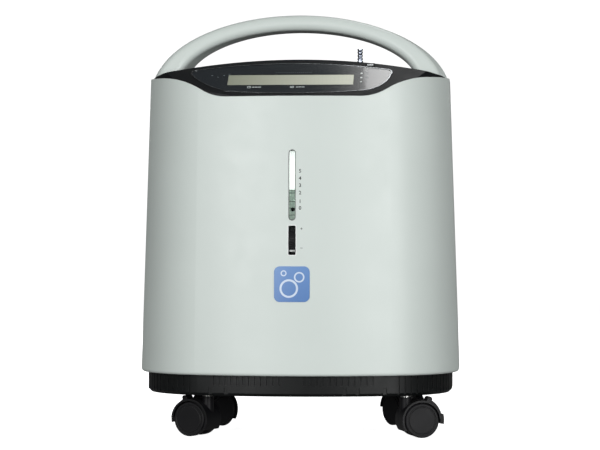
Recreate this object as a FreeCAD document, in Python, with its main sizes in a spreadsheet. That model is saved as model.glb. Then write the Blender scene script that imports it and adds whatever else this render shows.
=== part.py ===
"""Five litre home oxygen concentrator on four casters, as separate sub-parts.

Frame: millimetres, X to the user's right, Y to the back, Z up, the floor at Z = 0.
Every size is a cell of the "Sizes" sheet. A size text such as "caseWidth / 2 - wall"
is bound to the sheet for an object's property, and worked out for a sketch's geometry.
"""
import FreeCAD, Part
import math
import os
import re
import Sketcher

V = FreeCAD.Vector
doc = FreeCAD.newDocument("OxygenConcentrator")

sizes = {
    # casing
    "caseWidth": (381, "widest part of the casing, at its bottom edge"),
    "caseDepth": (290, "front to back at the bottom edge"),
    "caseBottom": (73, "bottom edge of the casing above the floor"),
    "caseRise": (372, "height to which the drafted form runs"),
    "draft": (1.87, "draft of the casing's walls, degrees"),
    "radian": (57.29578, "degrees in a radian"),
    "wall": (3, "moulded wall"),
    "frontRadius": (367, "bow of the front"),
    "cornerRadius": (110, "front corners"),
    "rearCornerRadius": (105, "rear corners"),
    "rearRadius": (600, "bow of the back"),
    "seamY": (22, "where front and rear shells meet"),
    "seamGap": (0.3, "gap at every seam and seat"),
    "flange": (3, "inward flange at the bottom of the casing"),
    "bottomRound": (3.5, "rounding of the casing's bottom edge"),
    # rim of the casing
    "rimFront": (396, "height of the rim in the middle"),
    "rimFlat": (78, "half length of the level stretch"),
    "rimRiseRadius": (56, "curve that lifts the rim"),
    "rimRiseAngle": (32, "steepest slope of the rim"),
    "rimFallRadius": (103, "curve that levels it again"),
    "rimSideAngle": (4, "slope left at the sides"),
    # top cover
    "deckTop": (443, "highest line of the top cover"),
    "crownRadius": (745, "crown across the cover"),
    "deckSkirt": (384, "lower edge of the cover's skirt"),
    "lipZ": (392, "where the control face meets the casing's rim"),
    "lipY": (131, "front and rear lip from the middle"),
    "slopeAngle": (36.5, "slope of the control face, degrees"),
    "backSlopeAngle": (29, "slope behind the handle, degrees"),
    # handle
    "handleY": (-22, "middle plane of the handle"),
    "handleTop": (498, "top of the handle"),
    "handleHalf": (180, "half width of its outer ellipse"),
    "handleRise": (94.3, "rise of its outer ellipse"),
    "gripHalf": (141.6, "half width of its inner ellipse"),
    "gripRise": (64.7, "rise of its inner ellipse"),
    "gripTop": (479, "top of the inner ellipse"),
    "handleFoot": (41, "half depth at the feet"),
    "handleDepth": (23, "half depth at the top"),
    "handleRound": (8.5, "rounding of the handle's long edges"),
    "postX": (152, "tenons under the handle's feet"),
    "postWide": (16, "tenons under the handle's feet"),
    "handleTaper": (8, "how much narrower the front and back faces are"),
    # control panel
    "panelX": (-5, "centre of the control panel"),
    "lensHalf": (117, "half length of the lens"),
    "lensLow": (14, "lower edge, up the slope from the lip"),
    "lensHigh": (75.5, "upper edge, up the slope"),
    "lensTip": (57, "the tips, up the slope"),
    "lensCorner": (33, "run of the right lower corner"),
    "lensCornerLeft": (43, "run of the left lower corner"),
    "lensThick": (1.6, "lens plate"),
    "rimWidth": (1.3, "trim ring round the lens"),
    "rimProud": (0.5, "trim ring above the cover"),
    "lcdWidth": (147, "display window"),
    "lcdHeight": (21.5, "display window along the slope"),
    "lcdUp": (41.9, "display centre up the slope"),
    "lcdDeep": (7, "display module"),
    "ledRadius": (1.3, "status lights"),
    "ledX": (77.4, "column of status lights"),
    "ledLow": (36.6, "lowest status light up the slope"),
    "ledPitch": (9.1, "spacing of the status lights"),
    "switchX": (87, "power switch"),
    "switchUp": (72.8, "power switch up the slope"),
    "switchWidth": (10, "power switch bezel"),
    "switchHeight": (6.4, "power switch bezel"),
    "switchDeep": (6, "power switch bezel"),
    # outlet
    "outletX": (74, "oxygen outlet"),
    "outletY": (-54, "oxygen outlet"),
    "outletTop": (455.5, "top of the outlet"),
    "barbRadius": (3.3, "crest of the barbs"),
    "neckRadius": (2.5, "body of the outlet"),
    "outletBore": (1.5, "gas way"),
    # flow meter
    "slotWidth": (8.4, "window and wheel slots in the front"),
    "slotCorner": (1.4, "corners of the thumbwheel's slot"),
    "windowLow": (252, "flow window"),
    "windowHigh": (334, "flow window"),
    "tubeRadius": (4.6, "flow tube"),
    "tubeBore": (2.7, "bore of the flow tube"),
    "tubeSetback": (17.5, "flow tube's axis behind the front"),
    "floatRadius": (2.45, "float ball"),
    "floatRest": (265, "height of the float's centre with no flow"),
    "wheelLow": (212.6, "thumbwheel slot"),
    "wheelHigh": (246.3, "thumbwheel slot"),
    "valveHalf": (11, "half width of the valve block"),
    "valveDeep": (16, "depth of the valve block"),
    "thumbRadius": (17.5, "thumbwheel"),
    "thumbWidth": (7, "thumbwheel"),
    "thumbProud": (1.2, "how far it stands out of the casing"),
    # badge
    "badgeSize": (41, "square badge"),
    "badgeZ": (179, "badge centre"),
    "badgeThick": (0.6, "badge plate"),
    # base tray
    "swivelGap": (2.6, "tray above the stem housings"),
    "trayInset": (8.5, "tray inside the casing's outline"),
    "trayTop": (80, "top of the tray's wall"),
    "ribPitch": (7.1, "spacing of the grooves along the front"),
    "ribWidth": (3.4, "groove"),
    "ribDepth": (1.3, "groove"),
    "ribLow": (61.5, "lower end of the grooves"),
    "notchWidth": (4.5, "notches in the band below the grooves"),
    "notchLow": (48, "notches in the band below the grooves"),
    "notchHigh": (58.5, "notches in the band below the grooves"),
    # casters
    "casterX": (116, "half spacing of the casters across"),
    "casterShiftX": (13, "offset of the caster pattern"),
    "casterFrontY": (-92, "front casters"),
    "casterRearY": (74, "rear casters"),
    "wheelRadius": (20, "caster wheel"),
    "wheelInner": (7.2, "inner face of a wheel from the middle"),
    "wheelOuter": (18, "outer face of a wheel from the middle"),
    "trail": (15.5, "axle behind the swivel axis"),
    "axleRadius": (2.5, "axle"),
    "runGap": (0.05, "running clearance of a shaft in its bore"),
    "hoodGap": (1.2, "hood round the wheels"),
    "hoodThick": (2.4, "hood"),
    "stemPin": (5, "swivel stem"),
    "housing": (6.8, "stem housing"),
    "stemRise": (6.4, "stem housing above the top of the wheels"),
    "leverPivot": (64, "pivot of the brake lever round the wheel, degrees"),
    "leverOut": (3.5, "pivot of the brake lever outside the hood"),
    # rear
    "grilleWidth": (150, "intake grille"),
    "grilleLow": (250, "intake grille"),
    "grilleHigh": (350, "intake grille"),
    "grillePitch": (10, "bars of the grille"),
    "filterThick": (8, "foam filter"),
    "screwX": (96, "rear screws from the middle"),
    "rearScrewIn": (112, "inner end of the rear screw bosses"),
    "plateWidth": (104, "service plate"),
    "plateLow": (96, "service plate"),
    "plateHigh": (132, "service plate"),
    "breakerX": (34, "reset button"),
    "breakerRadius": (4.5, "reset button"),
    # inside
    "shelfZ": (228, "shelf"),
    "shelfThick": (3, "shelf"),
    "fanX": (62, "cooling fan"),
    "fanY": (4, "cooling fan"),
    "fanSize": (119, "fan frame"),
    "fanThick": (25, "fan frame"),
    "fanBore": (56, "fan opening radius"),
    "fanRadius": (54, "fan blades' radius"),
    "compX": (62, "compressor"),
    "compY": (4, "compressor"),
    "compZ": (128, "compressor's shaft"),
    "motorRadius": (44, "compressor body"),
    "motorHalf": (34, "half length of the compressor body"),
    "headOff": (31, "cylinders beyond the ends of the compressor body"),
    "shaftRadius": (6, "compressor shaft"),
    "throw": (4, "eccentric"),
    "cylRadius": (30, "cylinder outside"),
    "cylBore": (24.4, "cylinder bore"),
    "pistonRadius": (19.8, "piston"),
    "headZ": (206, "top of the cylinder heads"),
    "bedRadius": (33, "sieve beds"),
    "bedX": (-116, "sieve beds"),
    "bedLow": (56, "sieve beds"),
    "bedHigh": (292, "sieve beds"),
    "bedSpread": (37, "half spacing of the sieve beds"),
    "bedY": (-8, "middle of the two sieve beds"),
    "passGap": (0.8, "clearance where a tube passes the shelf"),
    "mufflerRadius": (13, "exhaust muffler"),
    "mufflerLong": (38, "exhaust muffler"),
    "passX": (-58, "where the feed tube passes the shelf"),
    "feedY": (-30, "feed port from the middle of the beds"),
    "boardX": (62, "control board"),
    "boardY": (92, "control board"),
    "tankRadius": (31, "product tank"),
    "tankX": (-46, "product tank"),
    "tankY": (84, "product tank"),
    "tankHigh": (218, "product tank"),
    "tubeOuter": (4, "gas tube outside radius"),
    "tubeBend": (10, "bend of the gas tubes"),
}

sheet = doc.addObject("Spreadsheet::Sheet", "Sizes")
for row, (alias, (value, note)) in enumerate(sizes.items(), 1):
    sheet.set(f"A{row}", note)
    sheet.set(f"B{row}", str(value))
    sheet.setAlias(f"B{row}", alias)
doc.recompute()

aliasWord = re.compile(r"\b(" + "|".join(sizes) + r")\b")
nodes = []


def linked(text):
    """The text as an expression on the sheet."""
    return aliasWord.sub(r"Sizes.\1", str(text))


def number(text):
    """The text worked out with the sheet's present values."""
    plain = aliasWord.sub(lambda found: "(%r)" % float(sheet.get(found.group())), str(text))
    return float(FreeCAD.Units.Quantity(plain).Value)


def bind(item, **properties):
    for name, text in properties.items():
        item.setExpression(name, linked(text))


def place(item, x=0, y=0, z=0, rotation=None):
    """Put an object at sheet-bound coordinates."""
    item.Placement = FreeCAD.Placement(V(), rotation or FreeCAD.Rotation())
    for axis, text in (("x", x), ("y", y), ("z", z)):
        item.setExpression(".Placement.Base." + axis, linked(text))
    return item


def node(item, label):
    """Register a finished sub-part under the name of its file."""
    item.Label = label
    nodes.append(item)
    return item


alongAxis = {
    "X": FreeCAD.Rotation(V(0, 1, 0), 90),
    "Y": FreeCAD.Rotation(V(1, 0, 0), -90),
    "Z": FreeCAD.Rotation(),
}


def block(name, x, y, z):
    """Box from its low and high text along each axis."""
    item = doc.addObject("Part::Box", name)
    bind(item, Length=f"({x[1]}) - ({x[0]})", Width=f"({y[1]}) - ({y[0]})", Height=f"({z[1]}) - ({z[0]})")
    return place(item, x[0], y[0], z[0])


def rod(name, radius, span, at, axis="Z", sector=None):
    """Cylinder along an axis: span is its low and high, at the other two coordinates.

    A sector, in degrees from +X towards +Z, is for rods along Y."""
    item = doc.addObject("Part::Cylinder", name)
    bind(item, Radius=radius, Height=f"({span[1]}) - ({span[0]})")
    turn = alongAxis[axis]
    if sector:
        bind(item, Angle=f"({sector[1]}) - ({sector[0]})")
        turn = turn.multiply(FreeCAD.Rotation(V(0, 0, 1), -number(sector[1])))
    where = {"X": (span[0], *at), "Y": (at[0], span[0], at[1]), "Z": (*at, span[0])}[axis]
    return place(item, *where, rotation=turn)


def cone(name, low, high, span, at):
    item = doc.addObject("Part::Cone", name)
    bind(item, Radius1=low, Radius2=high, Height=f"({span[1]}) - ({span[0]})")
    return place(item, *at, span[0])


def fuse(name, *items):
    item = doc.addObject("Part::MultiFuse", name)
    item.Shapes = list(items)
    return item


def group(name, *items):
    """Separate solids that share one node."""
    item = doc.addObject("Part::Compound", name)
    item.Links = list(items)
    return item


def cut(name, base, *tools):
    item = doc.addObject("Part::Cut", name)
    item.Base = base
    item.Tool = tools[0] if len(tools) == 1 else fuse(name + "Tools", *tools)
    return item


def common(name, base, tool):
    item = doc.addObject("Part::Common", name)
    item.Base = base
    item.Tool = tool
    return item


def rounded(name, base, radius, wanted):
    """Fillet the edges of a finished object for which wanted(edge) is true."""
    doc.recompute()
    picked = [i for i, edge in enumerate(base.Shape.Edges, 1) if wanted(edge)]
    item = doc.addObject("Part::Fillet", name)
    item.Base = base
    item.Edges = [(i, number(radius), number(radius)) for i in picked]
    return item


def sketchOn(body, role, name, offset=0):
    """Empty sketch on one of the body's own origin planes, moved along its normal."""
    sketch = body.newObject("Sketcher::SketchObject", name)
    plane = next(f for f in body.Origin.OriginFeatures if f.Role == role)
    sketch.AttachmentSupport = (plane, [""])
    sketch.MapMode = "FlatFace"
    sketch.setExpression("AttachmentOffset.Base.z", linked(offset))
    return sketch


def padded(body, sketch, length, both=False, back=False):
    pad = body.newObject("PartDesign::Pad", sketch.Name + "Pad")
    pad.Profile = sketch
    bind(pad, Length=length)
    pad.Midplane = both
    pad.Reversed = back
    return pad


def arcThrough(centre, radius, start, end):
    """Arc in a sketch's plane, anticlockwise from start to end degrees."""
    circle = Part.Circle(V(centre[0], centre[1], 0), V(0, 0, 1), radius)
    return Part.ArcOfCircle(circle, math.radians(start), math.radians(end))


def line(a, b):
    return Part.LineSegment(V(a[0], a[1], 0), V(b[0], b[1], 0))


def polygon(points):
    return [line(a, b) for a, b in zip(points, points[1:] + points[:1])]


# ---- the casing's form -------------------------------------------------------------

def planOutline(sketch, inset):
    """Bowed front and back joined by round corners and straight sides, moved inwards."""
    half = number(f"caseWidth / 2 - ({inset})")
    rear = number(f"caseDepth / 2 - ({inset})")
    front = number(f"frontRadius - ({inset})")
    corner = number(f"cornerRadius - ({inset})")
    back = number(f"rearRadius - ({inset})")
    rearCorner = number(f"rearCornerRadius - ({inset})")
    frontY = front - rear
    backY = rear - back
    frontTurn = math.asin((half - corner) / (front - corner))
    backTurn = math.asin((half - rearCorner) / (back - rearCorner))
    cornerY = frontY - (front - corner) * math.cos(frontTurn)
    rearCornerY = backY + (back - rearCorner) * math.cos(backTurn)
    a, b = math.degrees(frontTurn), math.degrees(backTurn)
    edges = [
        arcThrough((0, frontY), front, 270 - a, 270 + a),
        arcThrough((half - corner, cornerY), corner, 270 + a, 360),
        line((half, cornerY), (half, rearCornerY)),
        arcThrough((half - rearCorner, rearCornerY), rearCorner, 0, 90 - b),
        arcThrough((0, backY), back, 90 - b, 90 + b),
        arcThrough((rearCorner - half, rearCornerY), rearCorner, 90 + b, 180),
        line((-half, rearCornerY), (-half, cornerY)),
        arcThrough((corner - half, cornerY), corner, 180, 270 - a),
    ]
    sketch.addGeometry(edges)
    radii = {0: "frontRadius", 1: "cornerRadius", 3: "rearCornerRadius", 4: "rearRadius",
             5: "rearCornerRadius", 7: "cornerRadius"}
    for edge, alias in radii.items():
        rule = sketch.addConstraint(Sketcher.Constraint("Radius", edge, number(f"{alias} - ({inset})")))
        sketch.setExpression(f"Constraints[{rule}]", linked(f"{alias} - ({inset})"))


def casingForm(name, inset, low, rise, drafted=True):
    """Solid inside the casing's outline, inset by so much, from low upwards."""
    body = doc.addObject("PartDesign::Body", name)
    sketch = sketchOn(body, "XY_Plane", name + "Outline", low)
    planOutline(sketch, inset)
    pad = padded(body, sketch, rise)
    if drafted:
        bind(pad, TaperAngle="-draft")
    return body


def insetAt(height, extra="0"):
    """Inset of the drafted form at a height, with an extra thickness."""
    return f"(({height}) - caseBottom) * draft / radian + ({extra})"


def frontAt(height):
    """Y of the front wall's outer face on the middle line."""
    return f"-caseDepth / 2 + {insetAt(height)}"


def backAt(height, x="0"):
    """Y of the rear wall's outer face, on the middle line or off it."""
    bow = f"rearRadius - sqrt(rearRadius * rearRadius - ({x}) * ({x}))"
    return f"caseDepth / 2 - ({insetAt(height)}) - ({bow})"


def rimCurve(side):
    """Rim on one side (1 right, -1 left): lifted, levelled, and out past the wall."""
    flat, low = number("rimFlat"), number("rimFront")
    rise, fall = number("rimRiseRadius"), number("rimFallRadius")
    steep, rest = math.radians(number("rimRiseAngle")), math.radians(number("rimSideAngle"))
    centre = (flat + (rise + fall) * math.sin(steep), low + rise - (rise + fall) * math.cos(steep))
    end = (centre[0] - fall * math.sin(rest), centre[1] + fall * math.cos(rest))
    out = number("caseWidth / 2 + 10")
    tip = (out, end[1] + (out - end[0]) * math.tan(rest))

    def turned(middle, radius, start, finish):
        angles = sorted((90 + side * (start - 90), 90 + side * (finish - 90)))
        return arcThrough((side * middle[0], middle[1]), radius, *angles)

    lift = turned((flat, low + rise), rise, 270, 270 + math.degrees(steep))
    level = turned(centre, fall, 90 + math.degrees(rest), 90 + math.degrees(steep))
    return [lift, level, line((side * end[0], end[1]), (side * tip[0], tip[1]))], tip


def crownRegion(sketch, low, drop=0):
    """Region under the cover's crown, lowered by drop, down to a height."""
    half = number("caseWidth / 2 + 10")
    radius = number(f"crownRadius - ({drop})")
    centre = number("deckTop - crownRadius")
    turn = math.degrees(math.asin(half / radius))
    side = centre + radius * math.cos(math.radians(turn))
    floor = number(low)
    sketch.addGeometry([
        arcThrough((0, centre), radius, 90 - turn, 90 + turn),
        *[line(a, b) for a, b in (((-half, side), (-half, floor)), ((-half, floor), (half, floor)),
                                  ((half, floor), (half, side)))],
    ])


# ---- casing shells -----------------------------------------------------------------

def makeShells():
    outer = casingForm("CasingForm", "0", "caseBottom", "caseRise")
    doc.recompute()
    pad = outer.Tip
    low = number("caseBottom")
    edges = [f"Edge{i}" for i, e in enumerate(pad.Shape.Edges, 1) if e.BoundBox.ZMax < low + 0.01]
    rim = outer.newObject("PartDesign::Fillet", "BottomRound")
    rim.Base = (pad, edges)
    bind(rim, Radius="bottomRound")
    cavity = casingForm("CasingCavity", insetAt("caseBottom + flange", "wall"), "caseBottom + flange",
                        "caseRise")
    mouth = casingForm("TrayMouth", "trayInset - seamGap", "caseBottom - 1", "flange + 5", drafted=False)

    over = doc.addObject("PartDesign::Body", "AboveRim")
    sketch = sketchOn(over, "XZ_Plane", "RimSketch")
    right, tip = rimCurve(1)
    left, _ = rimCurve(-1)
    flat, low, high = number("rimFlat"), number("rimFront"), number("caseBottom + caseRise + 20")
    corners = [tip, (tip[0], high), (-tip[0], high), (-tip[0], tip[1])]
    sketch.addGeometry([line((-flat, low), (flat, low)), *right, *left, *polygon(corners)[:3]])
    padded(over, sketch, "caseDepth + 20", both=True)

    shell = cut("CasingShell", outer, cavity, mouth, over)
    half = "caseWidth / 2 + 20"
    front = block("FrontHalf", (f"-({half})", half), ("-caseDepth", "seamY - seamGap / 2"),
                  (0, "deckTop + 20"))
    back = block("BackHalf", (f"-({half})", half), ("seamY + seamGap / 2", "caseDepth"), (0, "deckTop + 20"))
    return common("FrontShellBlank", shell, front), common("RearShellBlank", shell, back), outer, cavity


frontBlank, rearBlank, form, cavity = makeShells()


def wallPatch(name, x, y, z, inner="wall", outer="0"):
    """Piece of the casing's wall inside a box; outer < 0 stands proud of it."""
    skin = casingForm(name + "Skin", outer, "caseBottom", "caseRise")
    core = casingForm(name + "Core", inner, "caseBottom", "caseRise")
    return common(name, cut(name + "Wall", skin, core), block(name + "Box", x, y, z))


def slotCutter(name, width, low, high, depth=("-caseDepth", "-caseDepth / 4")):
    """Round-ended slot through the front wall on the middle line."""
    half = f"({width}) / 2"
    return fuse(name,
                block(name + "Mid", (f"-({half})", half), depth, (f"{low} + {half}", f"{high} - {half}")),
                rod(name + "Low", half, depth, (0, f"{low} + {half}"), "Y"),
                rod(name + "High", half, depth, (0, f"{high} - {half}"), "Y"))


def makeFrontShell():
    window = slotCutter("WindowSlot", "slotWidth", "windowLow", "windowHigh")
    half, depth, r = "slotWidth / 2", ("-caseDepth", "-caseDepth / 4"), "slotCorner"
    corners = [rod(f"ThumbCorner{x}{z}", r, depth, (f"{x} * ({half} - {r})", z), "Y")
               for x in (-1, 1) for z in (f"wheelLow + {r}", f"wheelHigh - {r}")]
    wheel = fuse("ThumbSlot", block("ThumbTall", (f"{r} - {half}", f"{half} - {r}"), depth,
                                    ("wheelLow", "wheelHigh")),
                 block("ThumbWide", (f"-{half}", half), depth, (f"wheelLow + {r}", f"wheelHigh - {r}")),
                 *corners)
    shell = cut("FrontShell", frontBlank, window, wheel)
    return node(shell, "front_shell")


def makeRearShell():
    gap = "seamGap"
    half = "grilleWidth / 2"
    reach = (f"caseDepth / 2 - 24", "caseDepth")
    mouth = block("GrilleMouth", (f"-({half}) - {gap}", f"{half} + {gap}"), reach,
                  (f"grilleLow - {gap}", f"grilleHigh + {gap}"))
    plate = block("PlateMouth", (f"-plateWidth / 2 - {gap}", f"plateWidth / 2 + {gap}"), reach,
                  (f"plateLow - {gap}", f"plateHigh + {gap}"))
    ledge = wallPatch("FilterLedge", (f"-({half}) - wall", f"{half} + wall"), ("caseDepth / 4", "caseDepth"),
                      ("grilleLow - wall", "grilleHigh + wall"), "wall + filterThick + 4", "wall - 0.01")
    hollow = block("LedgeHollow", (f"-({half}) - {gap}", f"{half} + {gap}"), ("caseDepth / 4", "caseDepth"),
                   (f"grilleLow - {gap}", f"grilleHigh + {gap}"))
    bosses = []
    holes = []
    for side in ("-1", "1"):
        for level in ("caseBottom + 45", "rimFront - 20"):
            at = (f"{side} * screwX", level)
            face = backAt(level, "screwX")
            bosses.append(rod("ScrewBoss", "5.5", ("rearScrewIn", f"{face} - 1"), at, "Y"))
            holes.append(rod("ScrewHole", "1.6", ("rearScrewIn - 1", "caseDepth"), at, "Y"))
            holes.append(rod("HeadHole", "3.9", (f"{face} - 4", "caseDepth"), at, "Y"))
    body = fuse("RearWithBosses", rearBlank, cut("LedgeRing", ledge, hollow), *bosses)
    shell = cut("RearShell", body, mouth, plate, *holes)
    return node(shell, "rear_shell")


# ---- top cover ---------------------------------------------------------------------

def coverForm(name, drop, inset, low):
    """The cover's outer form, or its hollow: crown, front and rear slopes, casing outline."""
    plan = casingForm(name + "Plan", insetAt(low, f"wall + seamGap + {inset}"), low,
                      "deckTop + 10 - (%s)" % low)
    crown = doc.addObject("PartDesign::Body", name + "Crown")
    across = sketchOn(crown, "XZ_Plane", name + "CrownSketch")
    crownRegion(across, f"({low}) - 5", drop)
    padded(crown, across, "caseDepth + 20", both=True)
    side = doc.addObject("PartDesign::Body", name + "Side")
    along = sketchOn(side, "YZ_Plane", name + "SideSketch")
    lip, floor = number("lipY"), number(f"({low}) - 5")
    steep = math.radians(number("slopeAngle"))
    back = math.radians(number("backSlopeAngle"))
    top, lipZ = number(f"deckTop + 5 - ({drop})"), number("lipZ")
    frontZ, backZ = lipZ - number(drop) / math.cos(steep), lipZ - number(drop) / math.cos(back)
    over = 10
    along.addGeometry(polygon([
        (-lip - over, floor), (-lip - over, frontZ - over * math.tan(steep)),
        (-lip + (top - frontZ) / math.tan(steep), top), (lip - (top - backZ) / math.tan(back), top),
        (lip + over, backZ - over * math.tan(back)), (lip + over, floor)]))
    padded(side, along, "caseWidth + 20", both=True)
    return common(name, common(name + "Crowned", plan, crown), side)


def makeTopCover(*openings):
    outer = coverForm("CoverForm", "0", "0", "deckSkirt")
    hollow = coverForm("CoverHollow", "wall", "wall", "deckSkirt - 1")
    posts = [block(f"PostSlot{i}", *handlePost(side, "seamGap")) for i, side in enumerate((-1, 1))]
    return node(cut("TopCover", cut("CoverShell", outer, hollow), *openings, *posts), "top_cover")


# ---- handle ------------------------------------------------------------------------

def handlePost(side, gap="0"):
    """Tenon under each foot, which passes through the cover."""
    x = (f"{side} * postX - postWide / 2 - ({gap})", f"{side} * postX + postWide / 2 + ({gap})")
    return x, (f"handleY + 3 - ({gap})", f"handleY + 17 + ({gap})"), ("deckTop - 46", "deckTop - 10")


def ellipsePoint(half, rise, middle, turn):
    return (half * math.cos(turn), middle + rise * math.sin(turn))


def ellipseMeetsCrown(half, rise, middle, gap):
    """Angle at which an ellipse of the handle meets the cover's crown."""
    radius = number(f"crownRadius + {gap}")
    centre = number("deckTop - crownRadius")
    low, high = 0.0, math.pi / 2
    for _ in range(50):
        turn = (low + high) / 2
        x, z = ellipsePoint(half, rise, middle, turn)
        if math.hypot(x, z - centre) > radius:
            high = turn
        else:
            low = turn
    return turn


def archOutline(sketch, narrower):
    """Arch between two ellipses, standing on the crown of the cover."""
    radius = number("crownRadius + seamGap")
    crownZ = number("deckTop - crownRadius")
    outer = (number("handleHalf") - narrower, number("handleRise") - narrower * 0.18,
             number("handleTop - handleRise"))
    inner = (number("gripHalf"), number("gripRise"), number("gripTop - gripRise"))
    gap = number("seamGap")
    turns = [ellipseMeetsCrown(*ellipse, gap) for ellipse in (outer, inner)]
    feet = [ellipsePoint(*ellipse, turn) for ellipse, turn in zip((outer, inner), turns)]
    lean = [math.degrees(math.atan2(z - crownZ, x)) for x, z in feet]
    edges = []
    for (half, rise, middle), turn in zip((outer, inner), turns):
        curve = Part.Ellipse(V(0, middle, 0), half, rise)
        edges.append(Part.ArcOfEllipse(curve, turn, math.pi - turn))
    edges.append(arcThrough((0, crownZ), radius, lean[0], lean[1]))
    edges.append(arcThrough((0, crownZ), radius, 180 - lean[1], 180 - lean[0]))
    sketch.addGeometry([edges[0], edges[3], edges[1], edges[2]])


def handleHalfPart(name, side):
    """Front (side -1) or rear (side 1) half: lofted, its depth tapering upwards."""
    half = doc.addObject("PartDesign::Body", name + "Loft")
    middle = sketchOn(half, "XZ_Plane", name + "Middle", f"-(handleY + {side} * seamGap / 2)")
    face = sketchOn(half, "XZ_Plane", name + "Face", f"-(handleY + {side} * handleFoot)")
    archOutline(middle, 0)
    archOutline(face, number("handleTaper"))
    loft = half.newObject("PartDesign::AdditiveLoft", name + "Arch")
    loft.Profile = middle
    loft.Sections = [face]
    loft.Ruled = True
    envelope = doc.addObject("PartDesign::Body", name + "Envelope")
    profile = sketchOn(envelope, "YZ_Plane", name + "Profile")
    y, foot, top = number("handleY"), number("handleFoot"), number("handleDepth")
    low, high = number("deckTop - 40"), number("handleTop + 2")
    feet = number("deckTop - 24")
    lean = (foot - top) / (high - feet)
    profile.addGeometry(polygon([(y, low), (y + side * (foot + lean * (feet - low)), low),
                                 (y + side * top, high), (y, high)]))
    padded(envelope, profile, "caseWidth + 20", both=True)
    shaped = common(name + "Shaped", common(name + "Blank", half, envelope),
                    casingForm(name + "Flush", insetAt("deckSkirt", "0"), "deckSkirt",
                               "handleTop + 5 - deckSkirt"))
    doc.recompute()
    return shaped


def archEdges(side):
    """Long edges of a half's outer face: those that keep clear of the parting plane."""
    y = number("handleY")

    def wanted(edge):
        box = edge.BoundBox
        clear = (y - box.YMax > 8) if side < 0 else (box.YMin - y > 8)
        return clear and box.XLength > 40
    return wanted


def makeHandle():
    front = rounded("HandleFront", handleHalfPart("Front", -1), "handleRound", archEdges(-1))
    rear = rounded("HandleRear", handleHalfPart("Rear", 1), "handleRound", archEdges(1))
    posts = [block(f"HandlePost{i}", *handlePost(side)) for i, side in enumerate((-1, 1))]
    node(front, "handle_front")
    node(fuse("HandleRearWithPosts", rear, *posts), "handle_rear")


# ---- control panel, in the frame of the control face -------------------------------

def tilted(name, *items):
    """Items made flat, X across and Y up the slope, laid on the control face."""
    item = group(name, *items)
    item.Placement = FreeCAD.Placement(V(), FreeCAD.Rotation(V(1, 0, 0), 30))
    item.setExpression(".Placement.Rotation.Angle", linked("slopeAngle"))
    item.setExpression(".Placement.Base.y", linked("-lipY"))
    item.setExpression(".Placement.Base.z", linked("lipZ"))
    return item


def lensPlate(name, grow, low, high):
    """Plate of the lens's outline, grown by so much, between two depths."""
    body = doc.addObject("PartDesign::Body", name)
    sketch = sketchOn(body, "XY_Plane", name + "Sketch", low)
    middle, half, g = number("panelX"), number("lensHalf"), number(grow)
    bottom, top, tip = number("lensLow") - g, number("lensHigh") + g, number("lensTip")
    right, left = half + g, -half - g
    knee, kneeLeft = half - number("lensCorner"), number("lensCornerLeft") - half
    rise = 5
    end = 5.5
    points = {
        "bottomLeft": (kneeLeft, bottom + rise), "bottom": (0, bottom), "bottomRight": (knee, bottom + rise),
        "cornerRight": (knee + 0.68 * (right - knee), bottom + 0.4 * (tip - bottom)),
        "tipRight": (right - 1.5, tip - end), "nose": (right, tip),
              "topRight": (right - end, tip + end + g / 2),
        "top": (0, top), "topLeft": (left + end, tip + end + g / 2), "noseLeft": (left, tip),
        "tipLeft": (left + 1.5, tip - end),
        "cornerLeft": (kneeLeft + 0.56 * (left - kneeLeft), bottom + 0.43 * (tip - bottom)),
    }
    spot = {key: V(x + middle, y, 0) for key, (x, y) in points.items()}
    for run in (("bottomLeft", "bottom", "bottomRight"), ("bottomRight", "cornerRight", "tipRight"),
                ("tipRight", "nose", "topRight"), ("topRight", "top", "topLeft"),
                ("topLeft", "noseLeft", "tipLeft"), ("tipLeft", "cornerLeft", "bottomLeft")):
        sketch.addGeometry(Part.Arc(*[spot[key] for key in run]))
    padded(body, sketch, f"({high}) - ({low})")
    return body


def lcdBlock(name, gap, low, high):
    x = (f"panelX - lcdWidth / 2 - ({gap})", f"panelX + lcdWidth / 2 + ({gap})")
    y = (f"lcdUp - lcdHeight / 2 - ({gap})", f"lcdUp + lcdHeight / 2 + ({gap})")
    return block(name, x, y, (low, high))


def ledRods(name, gap, low, high):
    return [rod(f"{name}{i}", f"ledRadius + {gap}", (low, high), ("ledX", f"ledLow + {i} * ledPitch"))
            for i in range(3)]


def switchBlock(name, gap, low, high):
    x = (f"switchX - switchWidth / 2 - ({gap})", f"switchX + switchWidth / 2 + ({gap})")
    y = (f"switchUp - switchHeight / 2 - ({gap})", f"switchUp + switchHeight / 2 + ({gap})")
    return block(name, x, y, (low, high))


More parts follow.
